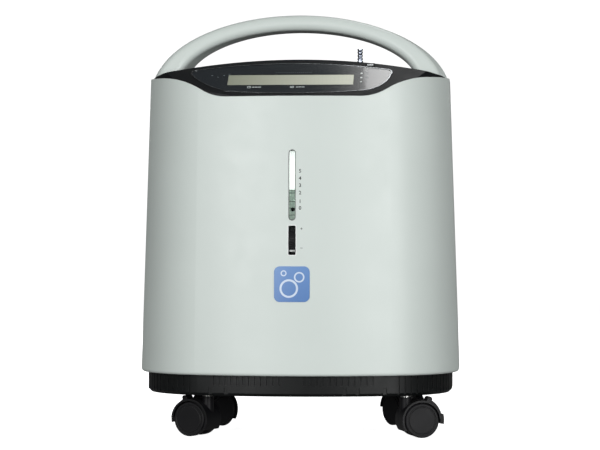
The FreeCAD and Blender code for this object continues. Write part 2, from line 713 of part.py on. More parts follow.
def makePanel():
    """Lens, trim ring, display, lights and power switch; returns what the cover is cut by."""
    seat = "-lensThick"
    lens = lensPlate("LensBlank", "0", seat, "0")
    holes = [lcdBlock("LcdHole", "0.15", "-lensThick - 1", "1"),
             *ledRods("LedHole", "0.1", "-lensThick - 1", "1")]
    node(tilted("PanelLens", cut("LensPlate", lens, *holes)), "panel_lens")

    ring = cut("RingBlank", lensPlate("RingOuter", "rimWidth + 0.1", seat, "rimProud"),
               lensPlate("RingInner", "0.1", "-lensThick - 1", "rimProud + 1"))
    node(tilted("PanelRing", ring), "panel_trim_ring")

    glass = lcdBlock("LcdGlass", "0", "-lensThick - 0.1", "-0.35")
    case = block("LcdCase", ("panelX - lcdWidth / 2 - 3", "panelX + lcdWidth / 2 + 3"),
                 ("lcdUp - lcdHeight / 2 - 3", "lcdUp + lcdHeight / 2 + 3"),
                 ("-lensThick - lcdDeep", "-lensThick - 0.1"))
    node(tilted("Lcd", fuse("LcdModule", glass, case)), "lcd_module")
    node(tilted("Leds", *ledRods("Led", "0", "-lensThick - 3", "0.15")), "indicator_leds")

    flange = switchBlock("SwitchFlange", "0", "0.2 - switchDeep", "0.6")
    mouth = switchBlock("SwitchMouth", "-1.1", "-switchDeep", "2")
    pivot = [rod(f"SwitchPin{i}", "0.6", (f"switchX + {side} * (switchWidth / 2 - 2) - 1.2",
                                            f"switchX + {side} * (switchWidth / 2 - 2) + 1.2"),
                 ("switchUp", "-1.2"), "X") for i, side in enumerate((-1, 1))]
    node(tilted("SwitchBezel", fuse("SwitchFrame", cut("SwitchTube", flange, mouth), *pivot)), "rocker_bezel")
    key = common("KeyShape", switchBlock("KeyBlock", "-1.4", "-2.6", "0.9"),
                 rod("KeyRound", "2.3", ("switchX - switchWidth", "switchX + switchWidth"),
                     ("switchUp", "-1.2"), "X"))
    bore = rod("KeyBore", "0.65", ("switchX - switchWidth", "switchX + switchWidth"), ("switchUp", "-1.2"),
               "X")
    node(tilted("Rocker", cut("RockerKey", key, bore)), "power_rocker")

    pocket = lensPlate("LensPocket", "rimWidth + 0.25", "-lensThick - 0.1", "8")
    lcdWell = block("LcdWell", ("panelX - lcdWidth / 2 - 3.3", "panelX + lcdWidth / 2 + 3.3"),
                    ("lcdUp - lcdHeight / 2 - 3.3", "lcdUp + lcdHeight / 2 + 3.3"), ("-12", "1"))
    wells = [lcdWell, *ledRods("LedWell", "0.2", "-12", "1"), switchBlock("SwitchWell", "0.15", "-12", "6")]
    return tilted("PanelPocket", fuse("PanelPocketFlat", pocket, *wells))


# ---- oxygen outlet -----------------------------------------------------------------

def crownAt(x):
    return f"deckTop - crownRadius + sqrt(crownRadius * crownRadius - ({x}) * ({x}))"


def makeOutlet():
    """Barbed nipple: a revolved profile with three barbs and a collar under the cover."""
    body = doc.addObject("PartDesign::Body", "Outlet")
    sketch = sketchOn(body, "XZ_Plane", "OutletProfile")
    foot, top = number(crownAt("outletX")), number("outletTop")
    bore, neck, crest = number("outletBore"), number("neckRadius"), number("barbRadius")
    outline = [(bore, foot - 14), (neck + 1, foot - 14), (neck + 1, foot - 5.4), (6, foot - 5.4),
               (6, foot - 3.9),
               (3.2, foot - 3.9), (3.2, foot + 0.8), (3.6, foot + 0.9), (3.6, foot + 1.8), (neck, foot + 2.2)]
    pitch = (top - foot - 4.6) / 3
    for i in range(3):
        low = foot + 3 + i * pitch
        outline += [(neck, low), (crest, low + 0.9), (crest, low + 1.5), (neck, low + pitch - 0.4)]
    outline += [(crest, top - 1.4), (crest, top - 0.4), (crest - 0.4, top), (bore, top)]
    sketch.addGeometry(polygon(outline))
    turn = body.newObject("PartDesign::Revolution", "OutletTurn")
    turn.Profile = sketch
    turn.ReferenceAxis = (sketch, ["V_Axis"])
    turn.Angle = 360
    return node(place(body, "outletX", "outletY", 0), "outlet_fitting")


def outletHole():
    foot = crownAt("outletX")
    return rod("OutletHole", "3.25", (f"{foot} - 12", f"{foot} + 5"), ("outletX", "outletY"))


# ---- flow meter and valve ----------------------------------------------------------

def thumbY():
    """Y of the thumbwheel's axle."""
    return f"{frontAt('(wheelLow + wheelHigh) / 2')} + thumbRadius - thumbProud"


def valveFront():
    """Y of the valve block's front face, behind the thumbwheel."""
    return f"{thumbY()} + thumbRadius + 0.8"


def makeFlowMeter():
    axisY = "-caseDepth / 2 + tubeSetback"
    low, high = "windowLow - 3.5", "windowHigh + 6"
    tube = cut("FlowTubeCut", rod("FlowTubeRod", "tubeRadius", (low, high), (0, axisY)),
               cone("FlowTaper", "tubeBore", "tubeBore + 0.4", ("floatRest - floatRadius", f"{high} - 2"),
                    (0, axisY)))
    node(tube, "flow_tube")
    ball = doc.addObject("Part::Sphere", "FloatBall")
    bind(ball, Radius="floatRadius")
    node(place(ball, 0, axisY, "floatRest"), "flow_float")

    bezelWall = "0.9"
    frame = cut("WindowFrame", slotCutter("FrameOuter", f"slotWidth - 0.2", "windowLow + 0.1",
                                          "windowHigh - 0.1"),
                slotCutter("FrameInner", f"slotWidth - 2 * {bezelWall}", f"windowLow + {bezelWall}",
                           f"windowHigh - {bezelWall}"))
    skin = cut("FrameSkin", casingForm("FrameOut", "-0.3", "caseBottom", "caseRise"),
               casingForm("FrameIn", "wall + 0.3", "caseBottom", "caseRise"))
    node(common("FlowWindowFrame", frame, skin), "flow_window_frame")

    # thumbwheel: knurled rim, axle bore, turning on the valve body's pin
    wheelY = thumbY()
    wheelZ = "(wheelLow + wheelHigh) / 2"
    half = "thumbWidth / 2"
    disc = rod("ThumbDisc", "thumbRadius", (f"-({half})", half), (wheelY, wheelZ), "X")
    bore = rod("ThumbBore", "2 + runGap", (f"-({half}) - 1", f"{half} + 1"), (wheelY, wheelZ), "X")
    notches = []
    for i in range(48):
        turn = 2 * math.pi * (i + 0.5) / 48
        at = (f"{wheelY} + (thumbRadius + 0.25) * {math.cos(turn):.5f}",
              f"{wheelZ} + (thumbRadius + 0.25) * {math.sin(turn):.5f}")
        notches.append(rod(f"Notch{i}", "0.75", (f"-({half}) - 1", f"{half} + 1"), at, "X"))
    node(cut("FlowWheel", disc, bore, *notches), "flow_wheel")

    # valve body: a block behind the wheel with two cheeks, a pin, and a tube holder
    cheek = "thumbWidth / 2 + 0.4"
    backY = valveFront()
    solid = block("ValveBlock", ("-valveHalf", "valveHalf"), (backY, f"{backY} + valveDeep"),
                  ("wheelLow - 4", "windowHigh + 10"))
    cheeks = [block(f"Cheek{i}", x, (f"{wheelY} - 5", f"{backY} + 1"), (f"{wheelZ} - 7", f"{wheelZ} + 7"))
              for i, x in enumerate(((cheek, "valveHalf"), ("-valveHalf", f"-({cheek})")))]
    pin = rod("ThumbPin", "2", (f"-({cheek}) - 1", f"{cheek} + 1"), (wheelY, wheelZ), "X")
    holders = []
    for i, (a, b) in enumerate(((low, "windowLow - 1"), ("windowHigh + 1", high))):
        arm = block(f"TubeArm{i}", ("-7", "7"), (f"{axisY} + 1", f"{backY} + 1"), (a, b))
        holders.append(cut(f"TubeHolder{i}", arm,
                           rod(f"TubeSeat{i}", "tubeRadius + 0.02", (f"{a} - 1", f"{b} + 1"),
                                                      (0, axisY))))
    inside = casingForm("ValveReach", insetAt("caseBottom", "wall + seamGap"), "caseBottom", "caseRise")
    ears = []
    for i, (a, b) in enumerate(((low, "windowLow - 1"), ("windowHigh + 1", high))):
        for j, x in enumerate((("6.9", "13"), ("-13", "-6.9"))):
            ears.append(common(f"Ear{i}{j}", block(f"EarBlock{i}{j}", x, ("-caseDepth", f"{backY} + 1"),
                                                   (a, b)),
                               inside))
    node(fuse("FlowValve", solid, *cheeks, pin, *holders, *ears), "flow_valve_body")


def makeBadge():
    half = "badgeSize / 2"
    plate = wallPatch("Badge", (f"-({half})", half), ("-caseDepth", "0"),
                      (f"badgeZ - {half}", f"badgeZ + {half}"),
                      "-0.1", "-badgeThick - 0.1")
    return node(rounded("BadgePlate", plate, "6.5", shortThroughEdges), "front_badge")


def shortThroughEdges(edge):
    """The four edges through a thin plate's thickness, at its corners."""
    box = edge.BoundBox
    return edge.Length < 1 and box.YLength > box.XLength and box.YLength > box.ZLength


pocket = makePanel()
makeOutlet()
makeTopCover(pocket, outletHole())
makeHandle()
makeFlowMeter()
makeBadge()


# ---- base tray ---------------------------------------------------------------------

casters = (("fl", -1, "casterFrontY", 158), ("fr", 1, "casterFrontY", 16),
           ("rl", -1, "casterRearY", -132), ("rr", 1, "casterRearY", 128))


# the tray clears the wheels, so its underside follows them
hoodTop = "(2 * wheelRadius + stemRise)"
trayBottom = f"({hoodTop} + swivelGap)"


def casterAt(side, y):
    return f"casterShiftX + {side} * casterX", y


def makeTray():
    wallTop = "trayTop"
    band = casingForm("TrayBand", "trayInset", trayBottom, f"{wallTop} - {trayBottom}", drafted=False)
    lip = casingForm("TrayLip", "wall + 1", "caseBottom + flange + seamGap", "2.6", drafted=False)
    inside = casingForm("TrayInside", "trayInset + wall", f"{trayBottom} + wall", "60", drafted=False)
    doc.recompute()
    chamfer = band.newObject("PartDesign::Chamfer", "TrayChamfer")
    low = number(trayBottom)
    pad = next(o for o in band.Group if o.TypeId == "PartDesign::Pad")
    chamfer.Base = (pad, [f"Edge{i}" for i, e in enumerate(pad.Shape.Edges, 1)
                          if e.BoundBox.ZMax < low + 0.01])
    bind(chamfer, Size="3.5")

    # grooves along the bowed front, and finer full-height ones round the corners
    centreY = number("frontRadius - caseDepth / 2")
    radius = number("frontRadius - trayInset")
    step = math.degrees(number("ribPitch") / radius)
    grooves = []
    count = 13
    for i in range(-count, count + 1):
        if abs(i) > 1:
            turn = math.radians(270 + i * step)
            grooves.append(grooveAt(f"Groove{i + count}", (0, centreY), radius, turn, number("ribWidth"),
                                    "ribLow"))
    # notches in the smooth band below, where the caster brackets are screwed in
    for i, x in enumerate((-97, -78, 60, 75, 106)):
        turn = math.radians(270) + math.asin(x / radius)
        grooves.append(grooveAt(f"BandNotch{i}", (0, centreY), radius, turn, number("notchWidth"),
                                "notchLow", "notchHigh"))
    corner = number("cornerRadius - trayInset")
    half = number("caseWidth / 2 - cornerRadius")
    bow = number("frontRadius - cornerRadius")
    cornerY = centreY - math.sqrt(bow ** 2 - half ** 2)
    for side in (-1, 1):
        for i in range(12):
            turn = math.radians(270 + side * (24 + i * 4.6))
            grooves.append(grooveAt(f"CornerGroove{side}{i}", (side * half, cornerY), corner, turn, 2.2,
                                    f"{trayBottom} - 1"))
    sockets = []
    bores = []
    for name, side, y, _ in casters:
        at = casterAt(side, y)
        sockets.append(rod("Socket" + name, "stemPin + 4", (f"{trayBottom} + 1", f"{trayBottom} + 26"), at))
        bores.append(rod("SocketBore" + name, "stemPin", (f"{trayBottom} - 1", f"{trayBottom} + 23"), at))
    body = fuse("TrayBody", cut("TrayHollow", fuse("TrayOuter", band, lip), inside), *sockets)
    return node(cut("BaseTray", body, *bores, *grooves), "base_tray")


def grooveAt(name, centre, radius, turn, width, low, high="caseBottom - 0.6"):
    """Upright groove in the band, at an angle round one of its arcs."""
    deep = number("ribDepth")
    item = doc.addObject("Part::Box", name)
    bind(item, Length=f"{deep} + 4", Width=str(width), Height=f"{high} - ({low})")
    x = centre[0] + (radius - deep) * math.cos(turn) + width / 2 * math.sin(turn)
    y = centre[1] + (radius - deep) * math.sin(turn) - width / 2 * math.cos(turn)
    item.Placement = FreeCAD.Placement(V(x, y, 0), FreeCAD.Rotation(V(0, 0, 1), math.degrees(turn)))
    item.setExpression(".Placement.Base.z", linked(low))
    return item


# ---- casters -----------------------------------------------------------------------

def casterTemplates():
    """One caster with its swivel axis at X = Y = 0 and its wheels trailing towards +X."""
    axle = ("trail", "wheelRadius")
    reach = "wheelOuter"
    inner = "wheelRadius + hoodGap"
    outer = "wheelRadius + hoodGap + hoodThick"
    sweep = ("4", "212")
    fender = cut("Fender", rod("FenderOut", outer, (f"-({reach})", reach), axle, "Y", sweep),
                 rod("FenderIn", inner, (f"-({reach}) - 1", f"{reach} + 1"), axle, "Y"))
    web = rod("Web", f"{outer} - 0.5", ("-wheelInner + 1", "wheelInner - 1"), axle, "Y", sweep)
    hub = rod("Hub", "6", ("-wheelInner + 1", "wheelInner - 1"), axle, "Y")
    housing = rod("Housing", "housing", ("wheelRadius - 6", hoodTop), (0, 0))
    lugs = []
    turn = number("leverPivot")
    pivot = (f"trail + ({outer} + leverOut) * cos(leverPivot / radian)",
             f"wheelRadius + ({outer} + leverOut) * sin(leverPivot / radian)")
    plainPivot = [number(part) for part in pivot]
    for side in (-1, 1):
        span = ("5.3", "7.6") if side > 0 else ("-7.6", "-5.3")
        lug = rod(f"Lug{side}", "2.8", span, [str(v) for v in plainPivot], "Y")
        foot = doc.addObject("Part::Box", f"LugFoot{side}")
        bind(foot, Length="leverOut + 2", Width="2.3", Height="5.6")
        radial = FreeCAD.Rotation(V(0, 1, 0), -turn)
        offset = radial.multVec(V(-number("leverOut + 2"), 0, -2.8))
        foot.Placement = FreeCAD.Placement(V(plainPivot[0], number(span[0]), plainPivot[1]) + V(offset.x, 0,
                                                                                                offset.z),
                                           radial)
        lugs += [lug, foot]
    leverPin = rod("LeverPin", "1.4", ("-7.6", "7.6"), [str(v) for v in plainPivot], "Y")
    swivelBore = rod("SwivelBore", "stemPin + runGap", ("wheelRadius - 3", f"{hoodTop} + 1"), (0, 0))
    axleBore = rod("AxleBore", "axleRadius + runGap", (f"-({reach})", reach), axle, "Y")
    plain = cut("PlainHood", fuse("HoodBody", fender, web, hub, housing), swivelBore, axleBore)
    braked = cut("BrakeHood", fuse("BrakeHoodBody", fender, web, hub, housing, *lugs, leverPin), swivelBore,
                 axleBore)
    pin = rod("AxlePin", "axleRadius", ("-wheelOuter + 1.8", "wheelOuter - 1.8"), axle, "Y")
    wheels = {"a": wheelTemplate("WheelA", -1), "b": wheelTemplate("WheelB", 1)}

    # brake lever: a barrel on the pin, a curved tail outside the hood and a thumb pad
    gap = "hoodGap + hoodThick + 0.5"
    tail = cut("LeverTail", rod("LeverOut", f"wheelRadius + {gap} + 3", ("-5", "5"), axle, "Y",
                                ("-6", "leverPivot")),
               rod("LeverIn", f"wheelRadius + {gap}", ("-6", "6"), axle, "Y"))
    barrel = rod("LeverBarrel", "2.9", ("-5", "5"), [str(v) for v in plainPivot], "Y")
    pad = cut("LeverPad", rod("PadOut", f"wheelRadius + {gap} + 4.6", ("-8.5", "8.5"), axle, "Y",
                              ("-10", "14")),
              rod("PadIn", f"wheelRadius + {gap}", ("-9.5", "9.5"), axle, "Y"))
    bore = rod("LeverBore", "1.4 + runGap", ("-8", "8"), [str(v) for v in plainPivot], "Y")
    lever = cut("BrakeLever", fuse("LeverBody", tail, barrel, pad), bore)
    return {"plain": plain, "braked": braked, "axle": pin, "lever": lever, "pivot": plainPivot, **wheels}


def wheelTemplate(name, side):
    """Wheel turned about its axle, with a dished outer face."""
    body = doc.addObject("PartDesign::Body", name)
    sketch = sketchOn(body, "XY_Plane", name + "Profile")
    bore, radius = number("axleRadius + runGap"), number("wheelRadius")
    inner, outer = number("wheelInner"), number("wheelOuter")
    cap = number("wheelOuter - 1.8")
    profile = [(bore, inner), (radius - 1, inner), (radius, inner + 1), (radius, outer - 1.4),
               (radius - 1.2, outer - 0.2), (radius - 3, outer - 0.2), (radius - 3.6, outer - 0.9),
               (radius - 4.4, outer - 0.9), (radius - 5, outer), (0, outer), (0, cap + 0.2),
               (bore, cap + 0.2)]
    sketch.addGeometry(polygon([(x, side * y) for x, y in profile]))
    turn = body.newObject("PartDesign::Revolution", name + "Turn")
    turn.Profile = sketch
    turn.ReferenceAxis = (sketch, ["V_Axis"])
    turn.Angle = 360
    return place(body, "trail", 0, "wheelRadius")


def makeCasters():
    parts = casterTemplates()

    def stand(name, template, side, y, turn):
        item = group(name, template)
        item.Placement = FreeCAD.Placement(V(), FreeCAD.Rotation(V(0, 0, 1), turn))
        at = casterAt(side, y)
        item.setExpression(".Placement.Base.x", linked(at[0]))
        item.setExpression(".Placement.Base.y", linked(at[1]))
        return item

    stems = []
    for name, side, y, turn in casters:
        front = name[0] == "f"
        at = casterAt(side, y)
        stems.append(fuse("Stem" + name, rod("StemRod" + name, "stemPin",
                                             ("wheelRadius - 2", f"{trayBottom} + 20"), at),
                          rod("StemCollar" + name, "stemPin + 1",
                              (f"{hoodTop} + 0.3", f"{trayBottom} - 0.1"), at)))
        hood = stand("Hood" + name, parts["braked" if front else "plain"], side, y, turn)
        node(hood, f"caster_{name}_hood")
        node(stand("Axle" + name, parts["axle"], side, y, turn), f"caster_{name}_axle")
        for letter in "ab":
            node(stand(f"Wheel{name}{letter}", parts[letter], side, y, turn), f"caster_{name}_wheel_{letter}")
        if front:
            node(stand("Brake" + name, parts["lever"], side, y, turn), f"caster_{name}_brake")
    node(group("CasterStems", *stems), "caster_stems")


# ---- back of the casing ------------------------------------------------------------

def makeRear():
    half = "grilleWidth / 2"
    patch = wallPatch("Grille", (f"-({half})", half), ("caseDepth / 4", "caseDepth"),
                      ("grilleLow", "grilleHigh"))
    slots = []
    rows = int(number("(grilleHigh - grilleLow) / grillePitch"))
    for i in range(rows):
        low = f"grilleLow + {i} * grillePitch + 3"
        for j, side in enumerate((-1, 1)):
            x = ("6", f"{half} - 8") if side > 0 else (f"8 - {half}", "-6")
            slots.append(block(f"GrilleSlot{i}{j}", x, ("caseDepth / 4", "caseDepth"),
                               (low, f"{low} + grillePitch - 4")))
    node(cut("FilterGrille", patch, *slots), "filter_grille")

    foam = wallPatch("Foam", (f"-({half}) + 1", f"{half} - 1"), ("caseDepth / 4", "caseDepth"),
                     ("grilleLow + 1", "grilleHigh - 1"), "wall + 0.3 + filterThick", "wall + 0.3")
    node(foam, "intake_filter")

    # service plate with the mains inlet and the bush of the reset button
    plate = wallPatch("Plate", ("-plateWidth / 2", "plateWidth / 2"), ("caseDepth / 4", "caseDepth"),
                      ("plateLow", "plateHigh"))
    middle = "(plateLow + plateHigh) / 2"
    face = backAt(middle)
    inletX = "-14"
    shroud = block("InletShroud", (f"{inletX} - 16", f"{inletX} + 16"), (f"{face} - 24", f"{face} - 1"),
                   (f"{middle} - 12", f"{middle} + 12"))
    socket = block("InletSocket", (f"{inletX} - 12.2", f"{inletX} + 12.2"), (f"{face} - 18", f"{face} + 5"),
                   (f"{middle} - 8.2", f"{middle} + 8.2"))
    pins = [block(f"InletPin{i}", (f"{inletX} + {dx} - 1", f"{inletX} + {dx} + 1"),
                  (f"{face} - 19", f"{face} - 6"),
                  (f"{middle} + {dz} - 2.4", f"{middle} + {dz} + 2.4")) for i, (dx, dz) in
            enumerate(((-7, -2), (0, 2.5), (7, -2)))]
    bush = rod("BreakerBush", "breakerRadius + 2.5", (f"{face} - 20", f"{face} - 1"), ("breakerX", middle),
               "Y")
    bore = rod("BreakerBore", "breakerRadius + 0.3", (f"{face} - 16", f"{face} + 5"), ("breakerX", middle),
               "Y")
    inlet = fuse("PowerInlet", cut("InletBody", fuse("InletBlank", plate, shroud, bush), socket, bore), *pins)
    node(inlet, "power_inlet")
    node(rod("BreakerButton", "breakerRadius", (f"{face} - 11", f"{face} + 1"), ("breakerX", middle), "Y"),
         "breaker_button")

    screws = []
    for side in ("-1", "1"):
        for level in ("caseBottom + 45", "rimFront - 20"):
            at = (f"{side} * screwX", level)
            face = backAt(level, "screwX")
            screws.append(fuse("Screw", rod("Shank", "1.55", ("rearScrewIn", f"{face} - 3.5"), at, "Y"),
                               rod("Head", "3.6", (f"{face} - 3.9", f"{face} - 1.5"), at, "Y")))
    node(group("CaseScrews", *screws), "case_screws")


# ---- inside ------------------------------------------------------------------------

def makeShelf():
    """Shelf across the casing that carries the fan and the control board."""
    low, high = "shelfZ", "shelfZ + shelfThick"
    plan = casingForm("ShelfPlan", insetAt("shelfZ", "wall + seamGap"), low, "shelfThick")
    keep = block("ShelfKeep", ("bedX + bedRadius + 3", "caseWidth"), ("-caseDepth", "rearScrewIn - 2"),
                 ("shelfZ - 1", "shelfZ + shelfThick + 1"))
    hole = rod("ShelfHole", "fanBore", ("shelfZ - 1", "shelfZ + 10"), ("fanX", "fanY"))
    notch = block("TankNotch", ("-caseWidth", "tankX + tankRadius + 4"),
                  ("tankY - tankRadius - 4", "caseDepth"),
                  ("shelfZ - 1", "shelfZ + 10"))
    valve = block("ValveNotch", ("-valveHalf - 2", "valveHalf + 2"),
                  ("-caseDepth", f"{valveFront()} + valveDeep + 1"),
                  ("shelfZ - 1", "shelfZ + 10"))
    feed = rod("FeedPass", "tubeOuter + passGap", ("shelfZ - 1", "shelfZ + 10"), ("passX", "bedY + feedY"))
    node(cut("Shelf", common("ShelfBlank", plan, keep), hole, notch, valve, feed), "shelf_plate")


def makeFan():
    low, high = "shelfZ + shelfThick + 0.2", "shelfZ + shelfThick + fanThick"
    half = "fanSize / 2"
    square = block("FanSquare", (f"fanX - {half}", f"fanX + {half}"), (f"fanY - {half}", f"fanY + {half}"),
                   (low, high))
    throat = rod("FanThroat", "fanBore", ("shelfZ", f"{high} + 1"), ("fanX", "fanY"))
    spokes = [block(f"FanSpoke{i}", (f"fanX - {a}", f"fanX + {a}"), (f"fanY - {b}", f"fanY + {b}"),
                    (low, f"{low} + 3")) for i,
              (a, b) in enumerate((("fanBore + 1", "2.5"), ("2.5", "fanBore + 1")))]
    seat = rod("FanSeat", "20", (low, f"{low} + 4"), ("fanX", "fanY"))
    pin = rod("FanPin", "2", (low, f"{high} - 6"), ("fanX", "fanY"))
    frame = fuse("FanFrame", cut("FanRing", square, throat), *spokes, seat, pin)
    node(frame, "fan_frame")
    hub = rod("FanHub", "19", (f"{low} + 4.5", f"{high} - 2"), ("fanX", "fanY"))
    blades = []
    for i in range(7):
        turn = 360 * i / 7
        blade = doc.addObject("Part::Box", f"Blade{i}")
        bind(blade, Length="fanRadius - 17", Width="1.8", Height="17")
        spin = FreeCAD.Rotation(V(0, 0, 1), turn).multiply(FreeCAD.Rotation(V(1, 0, 0), 52))
        reach = FreeCAD.Rotation(V(0, 0, 1), turn).multVec(V(17, 6, 0))
        blade.Placement = FreeCAD.Placement(V(), spin)
        blade.setExpression(".Placement.Base.x", linked(f"fanX + {reach.x:.4f}"))
        blade.setExpression(".Placement.Base.y", linked(f"fanY + {reach.y:.4f}"))
        blade.setExpression(".Placement.Base.z", linked(f"{low} + 6"))
        blades.append(blade)
    bore = rod("FanBoreHole", "2 + runGap", ("shelfZ", f"{high} - 4"), ("fanX", "fanY"))
    trim = rod("FanSweep", "fanRadius", (f"{low} + 4.5", f"{high} - 1"), ("fanX", "fanY"))
    rotor = cut("FanRotor", common("FanTrimmed", fuse("FanBlank", hub, *blades), trim), bore)
    node(rotor, "fan_rotor")


def makeCompressor():
    """Oil-free twin compressor: one shaft along X with an eccentric and a cylinder at each end."""
    at = ("compY", "compZ")
    half = "motorHalf"
    ends = ("compX - motorHalf - headOff - 14", "compX + motorHalf + headOff + 14")
    motor = rod("Motor", "motorRadius", (f"compX - {half}", f"compX + {half}"), at, "X")
    feet = block("CompFeet", (f"compX - {half} - 6", f"compX + {half} + 6"), ("compY - 50", "compY + 50"),
                 ("82", "88"))
    solids = [motor, feet]
    cuts = [rod("ShaftBore", "shaftRadius + runGap", ("0", "compX + 200"), at, "X")]
    heads, pistons = [], []
    for name, side in (("left", -1), ("right", 1)):
        inner = f"compX + {side} * (motorHalf - 0.5)"
        outer = f"compX + {side} * (motorHalf + headOff + 13)"
        span = (inner, outer) if side > 0 else (outer, inner)
        middle = f"compX + {side} * (motorHalf + headOff)"
        solids.append(block("Crankcase" + name, span, ("compY - 31", "compY + 31"),
                            ("compZ - 34", "compZ + 36")))
        chamber = (f"compX + {side} * (motorHalf + 2)", f"compX + {side} * (motorHalf + headOff + 24)")
        chamber = chamber if side > 0 else (chamber[1], chamber[0])
        cuts.append(rod("Chamber" + name, "27", chamber, at, "X"))
        cuts.append(rod("CrankMouth" + name, "cylBore", ("compZ", "compZ + 50"), (middle, "compY")))
        # finned cylinder and head
        low = "compZ + 36.2"
        barrel = rod("Barrel" + name, "cylRadius - 3.4", (low, "headZ - 3"), (middle, "compY"))
        fins = [rod(f"Fin{name}{i}", "cylRadius - 1", (f"{low} + {3 + 5 * i}", f"{low} + {4.6 + 5 * i}"),
                    (middle, "compY")) for i in range(5)]
        cap = block("HeadCap" + name, (f"{middle} - 27", f"{middle} + 27"), ("compY - 27", "compY + 27"),
                    ("headZ - 9", "headZ"))
        port = rod("HeadPort" + name, "tubeOuter", ("headZ - 1", "headZ + 4"), (middle, "compY + 14"))
        bore = rod("Bore" + name, "cylBore", (f"{low} - 1", "headZ - 10"), (middle, "compY"))
        heads.append(cut("Head" + name, fuse("HeadBody" + name, barrel, *fins, cap, port), bore))
        # rocking piston: big end on the eccentric, rod and cup in one piece
        pin = ("compY", "compZ + throw")
        wide = (f"{middle} - 4", f"{middle} + 4")
        ring = rod("BigEnd" + name, "15", wide, pin, "X")
        rib = block("Conrod" + name, (f"{middle} - 3", f"{middle} + 3"), ("compY - 4.5", "compY + 4.5"),
                    ("compZ + throw + 12", "headZ - 26"))
        crown = rod("Crown" + name, "pistonRadius", ("headZ - 28", "headZ - 21"), (middle, "compY"))
        eye = rod("BigEye" + name, "11 + runGap", (f"{middle} - 6", f"{middle} + 6"), pin, "X")
        pistons.append(cut("Piston" + name, fuse("PistonBody" + name, ring, rib, crown), eye))
    node(cut("CompressorBody", fuse("CompressorBlank", *solids), *cuts), "compressor_body")
    node(group("CompressorHeads", *heads), "compressor_heads")
    shaft = [rod("Shaft", "shaftRadius", ends, at, "X")]
    for side in (-1, 1):
        middle = f"compX + {side} * (motorHalf + headOff)"
        shaft.append(rod(f"Eccentric{side}", "11", (f"{middle} - 4.5", f"{middle} + 4.5"),
                         ("compY", "compZ + throw"), "X"))
    node(fuse("CompressorShaft", *shaft), "compressor_shaft")
    node(pistons[0], "piston_left")
    node(pistons[1], "piston_right")
    mounts = []
    for i, (dx, dy) in enumerate(((-1, -1), (-1, 1), (1, -1), (1, 1))):
        spot = (f"compX + {dx} * (motorHalf - 9)", f"compY + {dy} * 41")
        low = f"{trayBottom} + wall + 0.2"
        mounts.append(fuse(f"Mount{i}", cone(f"MountLow{i}", "10", "7", (low, "67"), spot),
                           cone(f"MountHigh{i}", "7", "10", ("67", "81.8"), spot)))
    node(group("CompressorMounts", *mounts), "compressor_mounts")


def makeSieves():
    """Two sieve beds with end caps, the product tank and the valve block that joins the beds."""
    for name, side in (("front", -1), ("rear", 1)):
        at = ("bedX", f"bedY + {side} * bedSpread")
        can = rod("Can" + name, "bedRadius", ("bedLow + 8", "bedHigh - 10"), at)
        low = rod("CapLow" + name, "bedRadius + 2", (f"{trayBottom} + wall + 0.2", "bedLow + 12"), at)
        high = rod("CapHigh" + name, "bedRadius + 2", ("bedHigh - 14", "bedHigh"), at)
        spigot = rod("Spigot" + name, "5", ("bedHigh - 1", "bedHigh + 5"), at)
        node(fuse("Bed" + name, can, low, high, spigot), f"sieve_bed_{name}")
    y = ("bedY - bedSpread - 22", "bedY + bedSpread + 22")
    manifold = block("Manifold", ("bedX - 17", "bedX + 17"), y, ("bedHigh + 5.2", "bedHigh + 31"))
    coils = [rod(f"Coil{i}", "11", ("bedHigh + 30", "bedHigh + 58"), ("bedX", f"bedY + {dy}"))
             for i, dy in enumerate((-42, -14, 14, 42))]
    nipple = rod("ManifoldPort", "tubeOuter", ("bedX + 16", "bedX + 21"), ("bedY", "bedHigh + 18"), "X")
    feedPort = rod("FeedPort", "tubeOuter", ("bedX + 16", "bedX + 21"), ("bedY + feedY", "bedHigh + 18"), "X")
    node(fuse("ValveManifold", manifold, *coils, nipple, feedPort), "valve_block")
    at = ("tankX", "tankY")
    foot = rod("TankFoot", "tankRadius - 6", (f"{trayBottom} + wall + 0.2", "66"), at)
    tank = fuse("Tank", rod("TankCan", "tankRadius", ("64", "tankHigh"), at), foot,
                rod("TankPort", "tubeOuter", ("tankHigh - 1", "tankHigh + 6"), at),
                rod("TankOut", "tubeOuter", ("tankHigh - 1", "tankHigh + 6"), ("tankX + 18", "tankY")))
    node(tank, "product_tank")
    end = "bedY + bedSpread + 22"
    at = ("bedX", "bedHigh + 18")
    muffler = fuse("Muffler", rod("MufflerNeck", "6", (f"{end} + 0.2", f"{end} + 8"), at, "Y"),
                   rod("MufflerCan", "mufflerRadius", (f"{end} + 7", f"{end} + mufflerLong"), at, "Y"))
    node(muffler, "exhaust_muffler")


